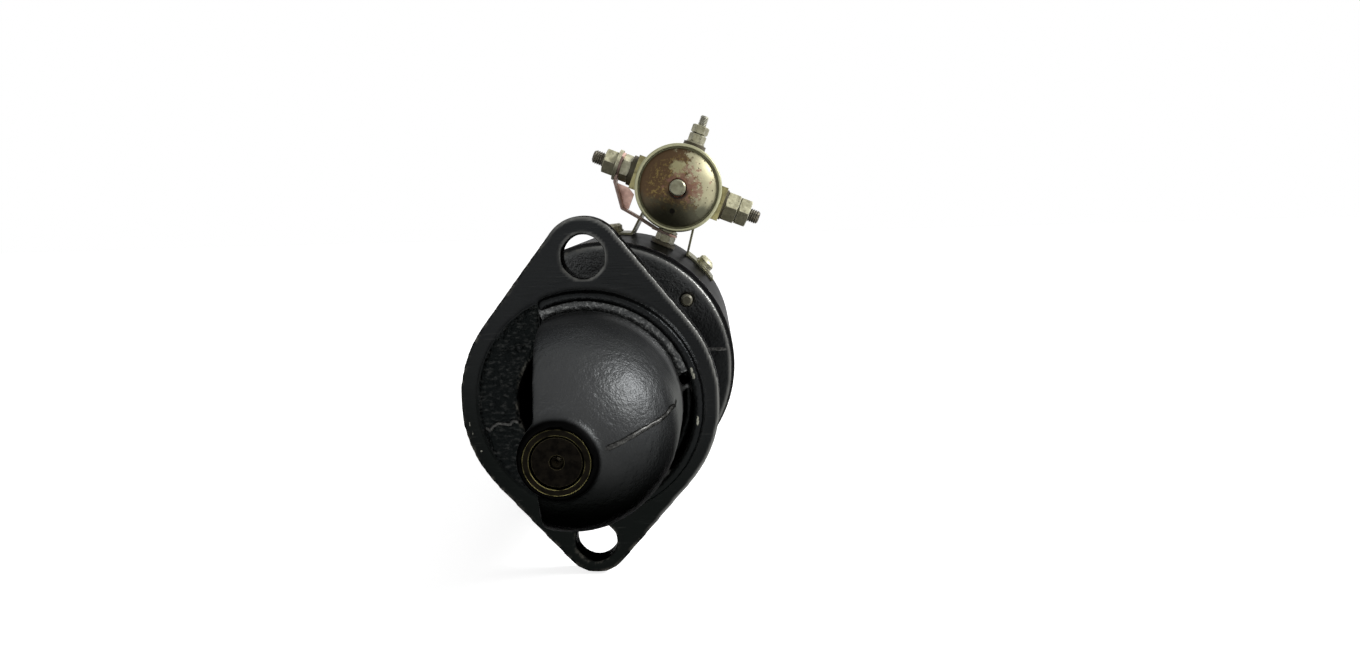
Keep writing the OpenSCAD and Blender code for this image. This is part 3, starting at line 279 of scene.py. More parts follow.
class Finish:
    """A material in the making: its shader, places on the piece, and the nodes between."""

    def __init__(self, name, **fixed):
        self.material = bpy.data.materials.new(name)
        self.material.use_nodes = True
        self.tree = self.material.node_tree
        self.shader = self.tree.nodes["Principled BSDF"]
        for socket, value in fixed.items():
            self.shader.inputs[socket.replace("_", " ")].default_value = value
        self.place = self.node("ShaderNodeTexCoord", output="Object")

    def node(self, kind, settings=None, inputs=None, output=0):
        """Adds a node of any kind, with its settings, then the values or links of its sockets."""
        made = self.tree.nodes.new(kind)
        for key, value in (settings or {}).items():
            setattr(made, key, value)
        for key, value in (inputs or {}).items():
            if isinstance(value, Flow):
                self.tree.links.new(value.socket, made.inputs[key])
            else:
                made.inputs[key].default_value = value
        return Flow(self, made.outputs[output])

    def noise(self, size, detail=2.0, rough=0.5, stretch=None):
        """Cloudy noise with features of about this size in metres, longer where stretch is large."""
        place = self.place
        if stretch:
            place = self.node("ShaderNodeMapping", {"vector_type": "TEXTURE"},
                              {"Vector": place, "Scale": stretch})
        return self.node("ShaderNodeTexNoise", {},
                         {"Vector": place, "Scale": 1 / size, "Detail": detail, "Roughness": rough})

    def cells(self, size):
        """Distance from the nearest of scattered points, in units of this size."""
        return self.node("ShaderNodeTexVoronoi", {}, {"Vector": self.place, "Scale": 1 / size}, "Distance")

    def along(self, axis):
        """The place along X, Y or Z."""
        return self.node("ShaderNodeSeparateXYZ", {}, {0: self.place}, axis)

    def line(self, value, size):
        """Noise along one value, such as the lines a lathe leaves at equal radius."""
        return self.node("ShaderNodeTexNoise", {"noise_dimensions": "1D"}, {"W": value, "Scale": 1 / size})

    def radius(self, centre=(0, 0, 0)):
        """Distance from the axis that runs along Y through centre."""
        off = self.node("ShaderNodeVectorMath", {"operation": "SUBTRACT"}, {0: self.place, 1: centre})
        flat = self.node("ShaderNodeVectorMath", {"operation": "MULTIPLY"}, {0: off, 1: (1, 0, 1)})
        return self.node("ShaderNodeVectorMath", {"operation": "LENGTH"}, {0: flat}, "Value")

    def corners(self, reach):
        """1 along edges and corners, where paint and plating wear through, and 0 on open faces."""
        eased_normal = self.node("ShaderNodeBevel", {"samples": 4}, {"Radius": reach})
        face = self.node("ShaderNodeNewGeometry", output="True Normal")
        same = self.node("ShaderNodeVectorMath", {"operation": "DOT_PRODUCT"},
                         {0: eased_normal, 1: face}, "Value")
        return same.step(0.985, 0.86)

    def downward_shade(self):
        """1 on faces that look down and 0 on those that look up, for painting shade onto the faces that
        look down.
        """
        face = self.node("ShaderNodeNewGeometry", output="True Normal")
        return self.node("ShaderNodeSeparateXYZ", {}, {0: face}, "Z").step(0.25, -0.45)

    def stored(self, name):
        """A number that was stored at each point of the mesh."""
        return self.node("ShaderNodeAttribute", {"attribute_name": name}, output="Fac")

    def mix(self, share, first, second):
        """From the first colour to the second as the share goes from 0 to 1."""
        return self.node("ShaderNodeMix", {"data_type": "RGBA"}, {0: share, 6: first, 7: second}, 2)

    def coat(self, colour, roughness=None, height=None, depth=0.0001, eased_edge=0.0):
        """Feeds the shader: height is raised by up to depth metres as it goes from 0 to 1, and
        corners look rounded to a radius of eased_edge metres."""
        for socket, value in (("Base Color", colour), ("Roughness", roughness)):
            if isinstance(value, Flow):
                self.tree.links.new(value.socket, self.shader.inputs[socket])
            elif value is not None:
                self.shader.inputs[socket].default_value = value
        normal = None
        if eased_edge:
            normal = self.node("ShaderNodeBevel", {"samples": 4}, {"Radius": eased_edge})
        if height is not None:
            inputs = {"Height": height, "Distance": depth, "Strength": 1.0}
            if normal:
                inputs["Normal"] = normal
            normal = self.node("ShaderNodeBump", {}, inputs)
        if normal:
            self.tree.links.new(normal.socket, self.shader.inputs["Normal"])
        return self.material


def tint(red, green, blue):
    """A colour as it looks on screen, 0 to 255, as the linear values that a shader takes."""
    linear = [((c / 255 + 0.055) / 1.055) ** 2.4 if c > 10 else c / 3294.6 for c in (red, green, blue)]
    return (*linear, 1.0)


def dress(material, *names):
    """Gives CAD nodes this material."""
    for name in names:
        mesh = node[name].data
        mesh.materials.clear()
        mesh.materials.append(material)


def casting_enamel():
    """Satin black enamel over cast iron: orange peel on the rough skin, saw-like tool lines on
    the machined front, ripples in the recess, dust in the hollows and edges worn to metal.
    Light and shade are painted into it too: painted shade low on the flange, on the dome's
    bottom and over the nose boss, and in the mouth's bare oily bore; a painted grey over the
    dome for the light it catches; and painted highlights on the dome's right side and lower
    right rim, at the top of the drum's face, along the flange's right-hand front edges and on
    the recess's ripple crests."""
    paint = Finish("casting_enamel", Metallic=1.0, Specular_Tint=EDGE_SHEEN)
    patches = paint.noise(0.018, 3.0)
    peel = paint.noise(0.0016, 2.0, 0.55)
    fine = paint.noise(0.0007, 2.0)
    depth = paint.along("Y")
    front = abs(depth).step(0.0007, 0.0003)
    recess = abs(depth - FLOOR_DEPTH).step(0.0012, 0.0007) * paint.radius().step(PILOT_R, PILOT_R - 0.0006)
    bowl = depth.step(-0.003, -0.006) * paint.radius().step(PILOT_R - 0.0038, PILOT_R - 0.0046)
    tool = paint.noise(0.0011, 3.0, 0.6, stretch=(14.0, 1.0, 1.0))
    ripple = paint.noise(0.0015, 3.0, 0.62, stretch=(2.0, 1.0, 1.0))
    nose = depth.step(-0.0735, -0.0765)
    # Painted highlight: the flange's front edges on the right, where the key lamp lights them, are painted
    # pale, and wear is left off them there.
    lit_edge_side = (paint.along("X") + paint.along("Z") * 0.3).step(0.0, 0.020) * depth.step(-0.002, 0.0)
    rubbed = paint.stored("sharp") * lit_edge_side
    worn = paint.stored("sharp") * paint.noise(0.005, 4.0, 0.7).step(0.46, 0.62)
    worn = worn * depth.step(-0.006, -0.003) * (1.0 - lit_edge_side)
    drum_face_highlight = depth.step(0.062, 0.068) * paint.along("Z").step(0.018, 0.045)
    chips = (paint.stored("chipped") + paint.noise(0.0009, 4.0, 0.75) * 1.3 - 1.1).step(0.12, 0.22)
    bore = paint.radius().step(MOUTH_R + 0.0010, MOUTH_R + 0.0004) * depth.step(0.0005, 0.0025)
    # Painted shade: the enamel is painted darker towards the bottom and a little to the left.
    painted_low_shade = (paint.along("Z") + paint.along("X") * 0.3).step(-0.045, 0.030)
    # Painted shade on the dome: near black towards its bottom.
    painted_dome_shade = (paint.along("Z") + paint.along("X") * 0.1 + patches * 0.006).step(-0.021, 0.034)
    # Painted highlights on the dome's right: a pale patch at its root, a pale band down its side, and a
    # pale strip along its lower right rim as a painted reflection of the bright surroundings.
    painted_root_highlight = bowl * depth.step(-0.019, -0.010) * paint.along("X").step(0.002, 0.016)
    painted_rim_reflection = (bowl * depth.step(-0.013, -0.006) * paint.along("Z").step(-0.008, -0.020)
               * paint.along("X").step(0.006, 0.016))
    painted_side_highlight = (bowl * depth.step(-0.046, -0.030) * paint.along("Z").step(-0.026, -0.010)
                 * paint.along("Z").step(0.022, 0.008) * paint.along("X").step(0.020, 0.032))
    # Painted glints: the crests of the ripples on the recess floor are painted paler.
    crest_glints = ripple.step(0.48, 0.72)
    black = paint.mix(patches, tint(22, 23, 24), tint(31, 32, 32))
    black = paint.mix(painted_low_shade, tint(15, 17, 16), black)
    black = paint.mix(recess, black, paint.mix(crest_glints, tint(13, 15, 15), tint(38, 39, 38)))
    # Painted light: the dome is painted mid grey, far paler than the flange, for the light it catches.
    painted_dome_light = paint.mix(patches, tint(56, 57, 58), tint(66, 67, 67))
    black = paint.mix(bowl, black, paint.mix(painted_dome_shade, tint(6, 7, 6), painted_dome_light))
    black = paint.mix(painted_root_highlight * 0.7, black, tint(104, 105, 105))
    black = paint.mix(painted_side_highlight * 0.6, black, tint(128, 129, 127))
    # Painted highlight: the top of the drum's front is painted paler.
    black = paint.mix(drum_face_highlight * 0.85, black, tint(58, 59, 59))
    black = paint.mix(painted_rim_reflection * 0.9, black, tint(150, 150, 147))
    # Painted reflection: the front of the nose boss is painted near black, for the dark surroundings it
    # reflects.
    black = paint.mix(nose, black, tint(6, 6, 6))
    dusty = paint.mix(paint.stored("hollow") * fine.step(0.45, 0.75) * 0.15, black, tint(62, 61, 56))
    scuffed = paint.mix(tool.step(0.60, 0.74) * front * 0.25, dusty, tint(60, 60, 58))
    colour = paint.mix(worn * 0.30, scuffed, tint(118, 115, 106))
    # Painted highlight along the flange's right-hand front edges.
    colour = paint.mix(rubbed * 0.7, colour, tint(116, 116, 113))
    colour = paint.mix(chips, colour, tint(120, 120, 110))
    # The bore of the mouth is painted near black: bare oily iron, and painted shade inside it.
    colour = paint.mix(bore * 0.9, colour, tint(5, 4, 4))
    roughness = 0.29 + 0.08 * patches + 0.06 * fine + 0.08 * front + 0.09 * bowl + 0.1 * nose + 0.3 * bore
    rough_skin = (peel * 0.60 + fine * 0.40) * (1.0 - front) * (1.0 - recess) * (1.0 - 0.7 * nose)
    height = rough_skin + tool * front * 0.38 + (ripple * 2.0 + peel * 1.3) * recess
    return paint.coat(colour, roughness, height, 0.00042)


housing.data.materials.clear()
housing.data.materials.append(casting_enamel())
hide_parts("drive_housing")
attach(housing, "motor")

# ---- Casting seam and bead ----
# A thin raised fin runs up the dome where the two halves of the sand mould met, and a lumpy
# bead of iron fills the corner between the dome and the pilot rim above the relief slots.
# It was left as cast, so its height and its line wander, and it is painted with the housing.

DOME_R = 0.0405
DOME_REACH = 0.0735
BOSS_R = 0.0145
SEAM_ANGLE = math.radians(13)
SEAM_HALF_WIDTH = 0.0010
DOME_SEAM_HEIGHT = 0.0009
FLOOR_SEAM_R = (0.0318, 0.0485)
FLOOR_SEAM_HEIGHT = 0.0013
DRUM_SEAM_R = (0.0478, 0.0618)
DRUM_SEAM_HEIGHT = 0.0004
DRUM_SEAM_ANGLE = math.radians(11.5)
DRUM_FRONT = 0.069
BEAD_R = 0.0435
BEAD_Y = -0.0040
BEAD_HALF_WIDTH = 0.0032
BEAD_HEIGHT = 0.0027


def round_shaft(radius, turn, y):
    """Points at this radius and turn about the shaft's axis, and at this place along it."""
    return np.stack([radius * np.cos(turn), y + 0 * turn, radius * np.sin(turn)], axis=1)


def skin_over(name, rings, material):
    """A closed mesh over rings of points, each joined to the next, with a fan of triangles
    from the middle of the first ring and of the last to close the ends."""
    count, around = rings.shape[:2]
    ring, here = np.meshgrid(np.arange(count - 1), np.arange(around), indexing="ij")
    after = (here + 1) % around
    sides = np.stack([ring * around + here, ring * around + after,
                      (ring + 1) * around + after, (ring + 1) * around + here], axis=-1)
    here, after = here[0], after[0]
    last = (count - 1) * around
    first_middle, last_middle = count * around, count * around + 1
    first_fan = np.stack([0 * here + first_middle, after, here], axis=1)
    last_fan = np.stack([0 * here + last_middle, last + here, last + after], axis=1)
    faces = sides.reshape(-1, 4).tolist() + first_fan.tolist() + last_fan.tolist()
    middles = np.stack([rings[0].mean(0), rings[-1].mean(0)])
    points = np.concatenate([rings.reshape(-1, 3), middles])
    mesh = bpy.data.meshes.new(name)
    mesh.from_pydata(points.tolist(), [], faces)
    mesh.materials.append(material)
    piece = bpy.data.objects.new(name, mesh)
    bpy.context.scene.collection.objects.link(piece)
    return smooth(piece)


def tube_along(path, out, width, height):
    """A low ridge along a path: each ring is an ellipse, as wide and as high as given at that
    point, with its height along out and its width square to both."""
    ahead = np.gradient(path, axis=0)
    ahead /= np.linalg.norm(ahead, axis=1)[:, None]
    sideways = np.cross(ahead, out)
    sideways /= np.linalg.norm(sideways, axis=1)[:, None]
    turn = np.linspace(0, 2 * math.pi, 16, endpoint=False)
    return (path[:, None] + np.cos(turn)[None, :, None] * (sideways * width[:, None])[:, None]
            + np.sin(turn)[None, :, None] * (out * height[:, None])[:, None])


def seam_enamel(name, dark, light, relief):
    """The housing's enamel over a fin or bead: dull, painted grey for the light the ridge catches, and
    paler on the crests of its bumps as painted highlights.
    """
    paint = Finish(name, Metallic=1.0, Specular_Tint=EDGE_SHEEN)
    fine = paint.noise(0.0012, 3.0, 0.6)
    colour = paint.mix(fine.step(0.46, 0.66), dark, light)
    return paint.coat(colour, 0.30 + 0.15 * fine, fine, relief)


def fin(name, line, out, height, seed):
    """A seam along a line of points, whose height swells and sinks by smooth noise."""
    swell = np.clip(0.8 + 0.55 * lumps(line, 0.0042, seed), 0.12, 1.4)
    ends = between(np.linspace(0, 1, len(line)), 0, 0.06) * between(-np.linspace(0, 1, len(line)), -1, -0.8)
    swell = swell * np.maximum(ends, 0.05)
    width = SEAM_HALF_WIDTH * (0.6 + 0.4 * swell)
    ridge = skin_over(name, tube_along(line, out, width, height * swell), fin_paint)
    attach(ridge, "motor")


# Painted light: the fins take a grey paler than the housing's black, for the light they catch.
fin_paint = seam_enamel("seam_enamel", tint(48, 48, 47), tint(72, 72, 70), 0.0002)
climb = np.linspace(math.radians(25), math.radians(83), 150)[::-1]
dome_bulge = np.maximum(0, 1 - np.sin(climb) ** 4.5) ** 0.8
seam_r = BOSS_R + (DOME_R - BOSS_R) * dome_bulge
seam_y = -DOME_REACH * np.sin(climb)
wander = 0.0007 * lumps(np.stack([seam_y] * 3, 1), 0.009, 11)
seam_turn = SEAM_ANGLE + wander / np.maximum(seam_r, 0.01)
slope = np.gradient(np.stack([seam_r, seam_y], 1), axis=0)
seam_out = np.stack([slope[:, 1] * np.cos(seam_turn), -slope[:, 0], slope[:, 1] * np.sin(seam_turn)], 1)
seam_out /= np.linalg.norm(seam_out, axis=1)[:, None]
fin("dome_seam", round_shaft(seam_r, seam_turn, seam_y), seam_out, DOME_SEAM_HEIGHT, 12)

floor_r = np.linspace(*FLOOR_SEAM_R, 60)
floor_turn = SEAM_ANGLE + math.pi + 0.0017 * lumps(np.stack([floor_r] * 3, 1), 0.0046, 13) / floor_r
drum_r = np.linspace(*DRUM_SEAM_R, 60)
drum_turn = DRUM_SEAM_ANGLE - 0.05 * (drum_r - 0.048) / 0.014
forwards = np.tile((0.0, -1.0, 0.0), (60, 1))
fin("floor_seam", round_shaft(floor_r, floor_turn, FLOOR_DEPTH), forwards, FLOOR_SEAM_HEIGHT, 14)
fin("drum_seam", round_shaft(drum_r, drum_turn, DRUM_FRONT), forwards, DRUM_SEAM_HEIGHT, 15)

bead_turn = np.radians(np.linspace(19.5, 114, 240))
bead_line = round_shaft(BEAD_R, bead_turn, BEAD_Y)
bead_swell = 1 + 0.10 * lumps(bead_line, 0.0024, 16)
bead_rings = tube_along(bead_line, np.tile((0.0, -1.0, 0.0), (240, 1)),
                        BEAD_HALF_WIDTH * bead_swell, BEAD_HEIGHT * bead_swell)
# Painted light: the bead is painted grey, far paler than the housing's black, with paler crests.
bead_enamel = seam_enamel("bead_enamel", tint(56, 57, 57), tint(98, 99, 98), 0.0003)
bead = skin_over("dome_bead", bead_rings, bead_enamel)
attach(bead, "motor")

# ---- Bushes, centre plate and thrust washers ----
# Sintered bronze bushes carry the shaft at the nose, the middle and the rear.
# They are pale yellow along their edges, most at the lower left, and dark with oil elsewhere.


def sintered_bronze():
    """Porous bronze, black with oil and pale along its edges, most at the lower left."""
    bronze = Finish("sintered_bronze", Metallic=1.0, Specular_Tint=EDGE_SHEEN)
    oil = bronze.noise(0.003, 3.0).step(0.35, 0.7)
    grain = bronze.noise(0.0004, 2.0)
    low = (bronze.along("Z") * -60.0 - bronze.along("X") * 25.0 + 0.35).step(0.0, 1.2)
    worn = bronze.corners(0.0005) * (0.25 + 0.75 * low) * bronze.noise(0.004, 3.0).step(0.3, 0.55)
    colour = bronze.mix(oil, tint(17, 15, 11), tint(10, 9, 7))
    colour = bronze.mix(worn, colour, tint(172, 164, 108))
    return bronze.coat(colour, 0.34 + 0.2 * oil, grain, 0.00004, 0.0004)


def machined_steel(name, bright, dull, oil_share=0.5, roughness=0.34, axis="Y"):
    """Turned steel: fine lines round the shaft, a film of dark oil and brighter edges."""
    steel = Finish(name, Metallic=0.95)
    cut = steel.line(steel.along(axis), 0.0005) if axis else steel.noise(0.0008)
    oil = steel.noise(0.007, 4.0, 0.6).step(0.35, 0.7)
    worn = steel.corners(0.0004)
    colour = steel.mix(oil * oil_share, bright, dull)
    colour = steel.mix(worn * 0.5, colour, tint(190, 188, 180))
    return steel.coat(colour, roughness + 0.18 * oil + 0.06 * cut, cut, 0.00002, 0.00025)


dress(sintered_bronze(), "nose_bush", "centre_bush", "rear_bush", "thrust_washers")
oiled_steel = machined_steel("oiled_steel", tint(128, 126, 118), tint(46, 40, 34), 0.8)
dress(oiled_steel, "centre_plate", "centre_plate_screws")

# ---- Yoke, rear cover, band and through bolts ----
# The yoke is a rolled and welded steel tube, the rear cover a casting and the band a strip
# that closes the brush windows. All wear smooth black enamel, thinner and glossier than the nose.


def smooth_enamel():
    """Black enamel over smooth steel: faint runs, a few scratches and edges worn to metal."""
    paint = Finish("smooth_enamel", Metallic=1.0, Specular_Tint=EDGE_SHEEN)
    patches = paint.noise(0.03, 3.0)
    peel = paint.noise(0.0028, 2.0, 0.55)
    runs = paint.noise(0.004, 3.0, 0.6, stretch=(1.0, 6.0, 1.0))
    scratch = paint.noise(0.0012, 2.0, 0.6, stretch=(1.0, 14.0, 1.0)).step(0.70, 0.76)
    worn = paint.corners(0.0006) * paint.noise(0.008, 4.0, 0.7).step(0.48, 0.62)
    colour = paint.mix(patches, tint(21, 21, 22), tint(29, 29, 29))
    colour = paint.mix(scratch * 0.3, colour, tint(66, 64, 60))
    colour = paint.mix(worn * 0.6, colour, tint(128, 124, 116))
    return paint.coat(colour, 0.27 + 0.14 * patches + 0.12 * scratch, peel * 0.75 + runs * 0.25,
                      0.00012, 0.0005)


yoke_enamel = smooth_enamel()
dress(yoke_enamel, "yoke", "pole_screws", "rear_cover", "cover_band")


def zinc_plate(name, clean, dirty, roughness=0.36, metallic=0.45):
    """Clear zinc on small steel parts: cloudy crystals, grey bloom and dark dirt in patches, with painted
    shade on the faces that look down.
    """
    zinc = Finish(name, Metallic=metallic)
    crystals = zinc.cells(0.0016)
    bloom = zinc.noise(0.0035, 4.0, 0.6)
    dirt = zinc.noise(0.0022, 4.0, 0.65).step(0.52, 0.72)
    worn = zinc.corners(0.0003)
    colour = zinc.mix(bloom.step(0.3, 0.7), clean, dirty)
    colour = zinc.mix(dirt * 0.6, colour, tint(58, 50, 40))
    # Painted shade: faces that look down are painted darker.
    colour = zinc.mix(zinc.downward_shade() * 0.75, colour, tint(72, 68, 50))
    colour = zinc.mix(worn * 0.5, colour, tint(214, 212, 200))
    return zinc.coat(colour, roughness + 0.22 * bloom, crystals * 0.5 + bloom * 0.5, 0.00003, 0.00025)


zinc = zinc_plate("zinc_plate", tint(146, 143, 122), tint(92, 89, 72))
dress(zinc, "band_screw", "brush_plate", "brush_plate_screws", "brush_holders")
dress(zinc_plate("sooted_zinc", tint(92, 90, 76), tint(58, 56, 46)), "through_bolts")

# ---- Poles and field coils ----
# Four steel pole shoes stand inside the yoke, each wound with a flat coil of copper strip.
# The shoes are plain oiled steel, and the coils are bound in varnished cotton tape.


def taped_coil():
    """Varnished cotton tape over copper: a weave of two thread directions and amber varnish."""
    tape = Finish("varnished_tape", Specular_IOR_Level=0.4)
    weave = tape.node("ShaderNodeTexWave", {"bands_direction": "DIAGONAL"},
                      {"Vector": tape.place, "Scale": 500.0})
    varnish = tape.noise(0.005, 3.0)
    colour = tape.mix(varnish, tint(104, 70, 40), tint(64, 40, 24))
    return tape.coat(colour, 0.35 + 0.3 * varnish, weave * 0.5 + tape.noise(0.0008) * 0.5, 0.0001)


dress(oiled_steel, "pole_shoes")
dress(taped_coil(), "field_coils", "switch_coil")

# ---- Armature ----
# Steel laminations and copper bars on a turned shaft, with the commutator at the rear.
# The shaft's end shows in the nose, brown with old oil, with the lathe's centre drilled in it.


def old_oil():
    """Turned steel under a dark film of old oil, pitted, and painted paler in the lathe's centre hole as a
    painted highlight.
    """
    steel = Finish("oil_browned_steel", Metallic=1.0, Specular_Tint=EDGE_SHEEN)
    rings = steel.line(steel.radius(), 0.0004)
    film = steel.noise(0.0026, 5.0, 0.65).step(0.35, 0.65)
    pits = steel.cells(0.0011).step(0.22, 0.10)
    worn = steel.corners(0.0003)
    colour = steel.mix(film, tint(15, 13, 10), tint(8, 7, 6))
    colour = steel.mix(pits * 0.5, colour, tint(5, 4, 4))
    colour = steel.mix(worn * 0.5, colour, tint(96, 90, 66))
    # Painted highlight: the lathe's centre hole is painted paler.
    colour = steel.mix(steel.radius().step(0.0023, 0.0017) * 0.9, colour, tint(78, 73, 62))
    return steel.coat(colour, 0.34 + 0.25 * film, rings * 0.4 + film * 0.4 - pits * 0.5, 0.00006, 0.0002)


def bare_copper(name, bright, dark, roughness=0.32):
    """Drawn copper gone dull: bright pink where rubbed, brown where it has been handled."""
    copper = Finish(name, Metallic=0.95)
    tarnish = copper.noise(0.006, 4.0, 0.6)
    spots = copper.noise(0.0012, 3.0, 0.6).step(0.58, 0.70)
    drawn = copper.noise(0.0006, 2.0, 0.5, stretch=(1.0, 1.0, 10.0))
    colour = copper.mix(tarnish.step(0.35, 0.65), bright, dark)
    colour = copper.mix(spots * 0.55, colour, tint(74, 44, 34))
    colour = copper.mix(copper.corners(0.0003) * 0.5, colour, tint(226, 176, 150))
    return copper.coat(colour, roughness + 0.25 * tarnish, drawn, 0.00002, 0.0002)


winding_copper = bare_copper("winding_copper", tint(168, 104, 70), tint(104, 62, 42), 0.3)
dress(old_oil(), "armature_shaft")
dress(oiled_steel, "armature_core")
dress(winding_copper, "armature_windings", "commutator")


def moulded(name, base, deep):
    """Moulded phenolic: brown-black with filler specks."""
    resin = Finish(name, Specular_IOR_Level=0.4)
    specks = resin.noise(0.0007, 3.0)
    cloud = resin.noise(0.006, 2.0)
    colour = resin.mix(cloud * 0.6 + specks * 0.4, base, deep)
    return resin.coat(colour, 0.5 + 0.15 * specks, specks, 0.00004, 0.0002)


phenolic = moulded("phenolic", tint(46, 34, 26), tint(24, 20, 18))
dress(phenolic, "commutator_hub")
dress(moulded("oiled_resin", tint(72, 65, 42), tint(46, 41, 27)), "terminal_insulator", "stud_insulators")

# ---- Starter drive ----
# The pinion slides out along a spline when the shaft spins up and is thrown back by the engine.
# A rubber cushion takes the shock, and a light spring holds the pinion off while it rests.

hard_steel = machined_steel("hard_steel", tint(112, 110, 104), tint(40, 35, 30), 0.7, 0.3)
dress(hard_steel, "drive_head", "drive_pin", "screw_shaft", "drive_washer", "pinion", "control_nut",
      "barrel_ring")


def moulded_rubber():
    """Matt black rubber with a grey bloom."""
    rubber = Finish("black_rubber", Specular_IOR_Level=0.25)
    bloom = rubber.noise(0.006, 3.0)
    colour = rubber.mix(bloom, tint(24, 24, 24), tint(44, 43, 41))
    return rubber.coat(colour, 0.62 + 0.2 * bloom, rubber.noise(0.0005, 2.0), 0.00004, 0.0006)


dress(moulded_rubber(), "drive_cushion")

# ---- Brushes ----
# Four carbon brushes slide in sheet-steel holders on the brush plate.
# Each is pressed onto the commutator by a small coil spring behind it.


def pressed_carbon():
    """Pressed carbon and graphite: dark grey, with a fine grain."""
    carbon = Finish("pressed_carbon", Metallic=0.25)
    grain = carbon.noise(0.0004, 3.0, 0.6)
    colour = carbon.mix(grain, tint(38, 38, 40), tint(66, 66, 68))
    return carbon.coat(colour, 0.45 + 0.2 * grain, grain, 0.00003, 0.0003)


dress(pressed_carbon(), "brush_1", "brush_2", "brush_3", "brush_4")

# ---- Motor terminal ----
# A copper stud comes up through the yoke in an insulating bush, to take the strap.
# Inside, a copper bar joins it to the nearest field coil.

red_copper = bare_copper("red_copper", tint(196, 128, 104), tint(136, 84, 66))
dress(red_copper, "motor_terminal", "field_lead")

# ---- Magnetic switch ----
# A deep-drawn can in olive chromate stands on a strip bracket. Its domed cap has lost half of
# its plating to rust, and the button in the middle closes the contacts by hand.

SWITCH_AXIS = (0.037086, 0.0, 0.091791)
LEAN = math.radians(22)
ACROSS = Vector((math.cos(LEAN), 0, -math.sin(LEAN)))
UPWARD = Vector((math.sin(LEAN), 0, math.cos(LEAN)))
STUD_Y = 0.131


def olive_chromate(name, light, dark):
    """Yellow chromate over zinc: olive with pink and green sheen, dulled and finger-marked."""
    plate = Finish(name, Metallic=0.35)
    sheen = plate.noise(0.009, 3.0, 0.55)
    marks = plate.noise(0.0028, 5.0, 0.65)
    worn = plate.corners(0.0004)
    colour = plate.mix(sheen.step(0.35, 0.65), light, dark)
    colour = plate.mix(marks.step(0.54, 0.70) * 0.65, colour, tint(62, 54, 36))
    colour = plate.mix(worn * 0.6, colour, tint(190, 186, 146))
    return plate.coat(colour, 0.34 + 0.25 * marks, marks, 0.00004, 0.0003)


def rusted_cap():
    """The cap by place: silver on the right and in a patch at the top, brown rust on the left
    with gold flecks and purple-brown flakes round the button. The silver rises towards the
    right and a little upwards, the side the key lamp lights, so it is both real plating and
    painted light. Along the bottom lie a painted dark reflection and a dark spot, below the
    button a painted shadow, and in the groove inside the rim painted shade."""
    cap = Finish("rusted_cap", Metallic=0.8)

    def reach_from(across, up):
        """Distance from a place on the cap, given across and up from its middle."""
        return cap.radius((SWITCH_AXIS[0] + across, 0, SWITCH_AXIS[2] + up))

    off_axis = cap.radius(SWITCH_AXIS)
    sideways = cap.along("X") - SWITCH_AXIS[0]
    upwards = cap.along("Z") - SWITCH_AXIS[2]
    cloud = cap.noise(0.007, 4.0, 0.6) - 0.5
    broken = cap.noise(0.0024, 5.0, 0.7) - 0.5
    # Real plating, placed along the key lamp's side so that it is also painted light there.
    silver = (sideways * 66.0 + upwards * 10.0 + cloud * 1.9 + broken * 1.7).step(0.44, 0.70)
    patch = (0.9 - reach_from(0.0005, 0.0105) * 170.0 + broken * 1.6).step(0.0, 0.4)
    # Painted reflection: the cap's bottom is painted dark for the dark parts below that it reflects.
    dark_below_reflection = (upwards * -70.0 + sideways * -8.0 + cloud * 1.4).step(0.22, 0.95)
    loose = cap.noise(0.0034, 5.0, 0.72) - 0.5
    flakes = (loose + (0.0110 - reach_from(0.0045, 0.0015)) * 20.0).step(0.04, 0.12)
    gold = cap.noise(0.0015, 4.0, 0.75).step(0.50, 0.62) * (0.016 - off_axis).step(-0.004, 0.003)
    pits = cap.cells(0.0031).step(0.20, 0.12) * silver
    colour = cap.mix(gold * 0.7, tint(74, 56, 36), tint(134, 116, 66))
    colour = cap.mix(silver, colour, tint(140, 136, 110))
    colour = cap.mix(patch * 0.85, colour, tint(140, 136, 102))
    colour = cap.mix(flakes * 0.75, colour, tint(112, 82, 70))
    colour = cap.mix(pits * 0.85, colour, tint(66, 54, 42))
    colour = cap.mix(dark_below_reflection * 0.9, colour, tint(66, 66, 52))
    # Painted reflection: a dark spot low on the cap.
    dark_reflection_spot = reach_from(-0.0035, -0.0125).step(0.0019, 0.0011)
    colour = cap.mix(dark_reflection_spot * 0.9, colour, tint(18, 16, 14))
    # Painted shadow: a dark crescent below the button.
    socket = (0.0072 - off_axis).step(0.0, 0.0016) * (upwards * -220.0).step(0.0, 0.8)
    colour = cap.mix(socket * 0.9, colour, tint(22, 18, 14))
    rim = off_axis.step(0.0212, 0.0218)
    # Painted shade: the groove inside the rolled rim is painted darker.
    groove = rim * off_axis.step(0.0228, 0.0222)
    colour = cap.mix(rim, colour, tint(150, 149, 120))
    colour = cap.mix(groove * 0.7, colour, tint(70, 67, 46))
    roughness = 0.30 + 0.12 * flakes + 0.30 * (broken + 0.5)
    relief = 0.5 + patch * 0.15 + silver * 0.2 - flakes * 0.3 - pits * 0.5 + broken * 0.25
    return cap.coat(colour, roughness, relief, 0.00009, 0.0003)


dress(olive_chromate("olive_chromate", tint(164, 157, 108), tint(118, 110, 70)), "switch_can")
dress(olive_chromate("dull_olive", tint(104, 102, 76), tint(66, 65, 50)), "switch_bracket")
dress(rusted_cap(), "switch_cap")
dress(oiled_steel, "switch_core")
dress(zinc_plate("worn_button", tint(132, 132, 108), tint(104, 102, 80), 0.3), "plunger")
dress(red_copper, "contact_disc")

# ---- Springs ----
# Each coil stands on a fixed seat and is pressed from its other end by the piece that it
# returns. Here each is a smooth copy of its CAD node that keeps its full length.

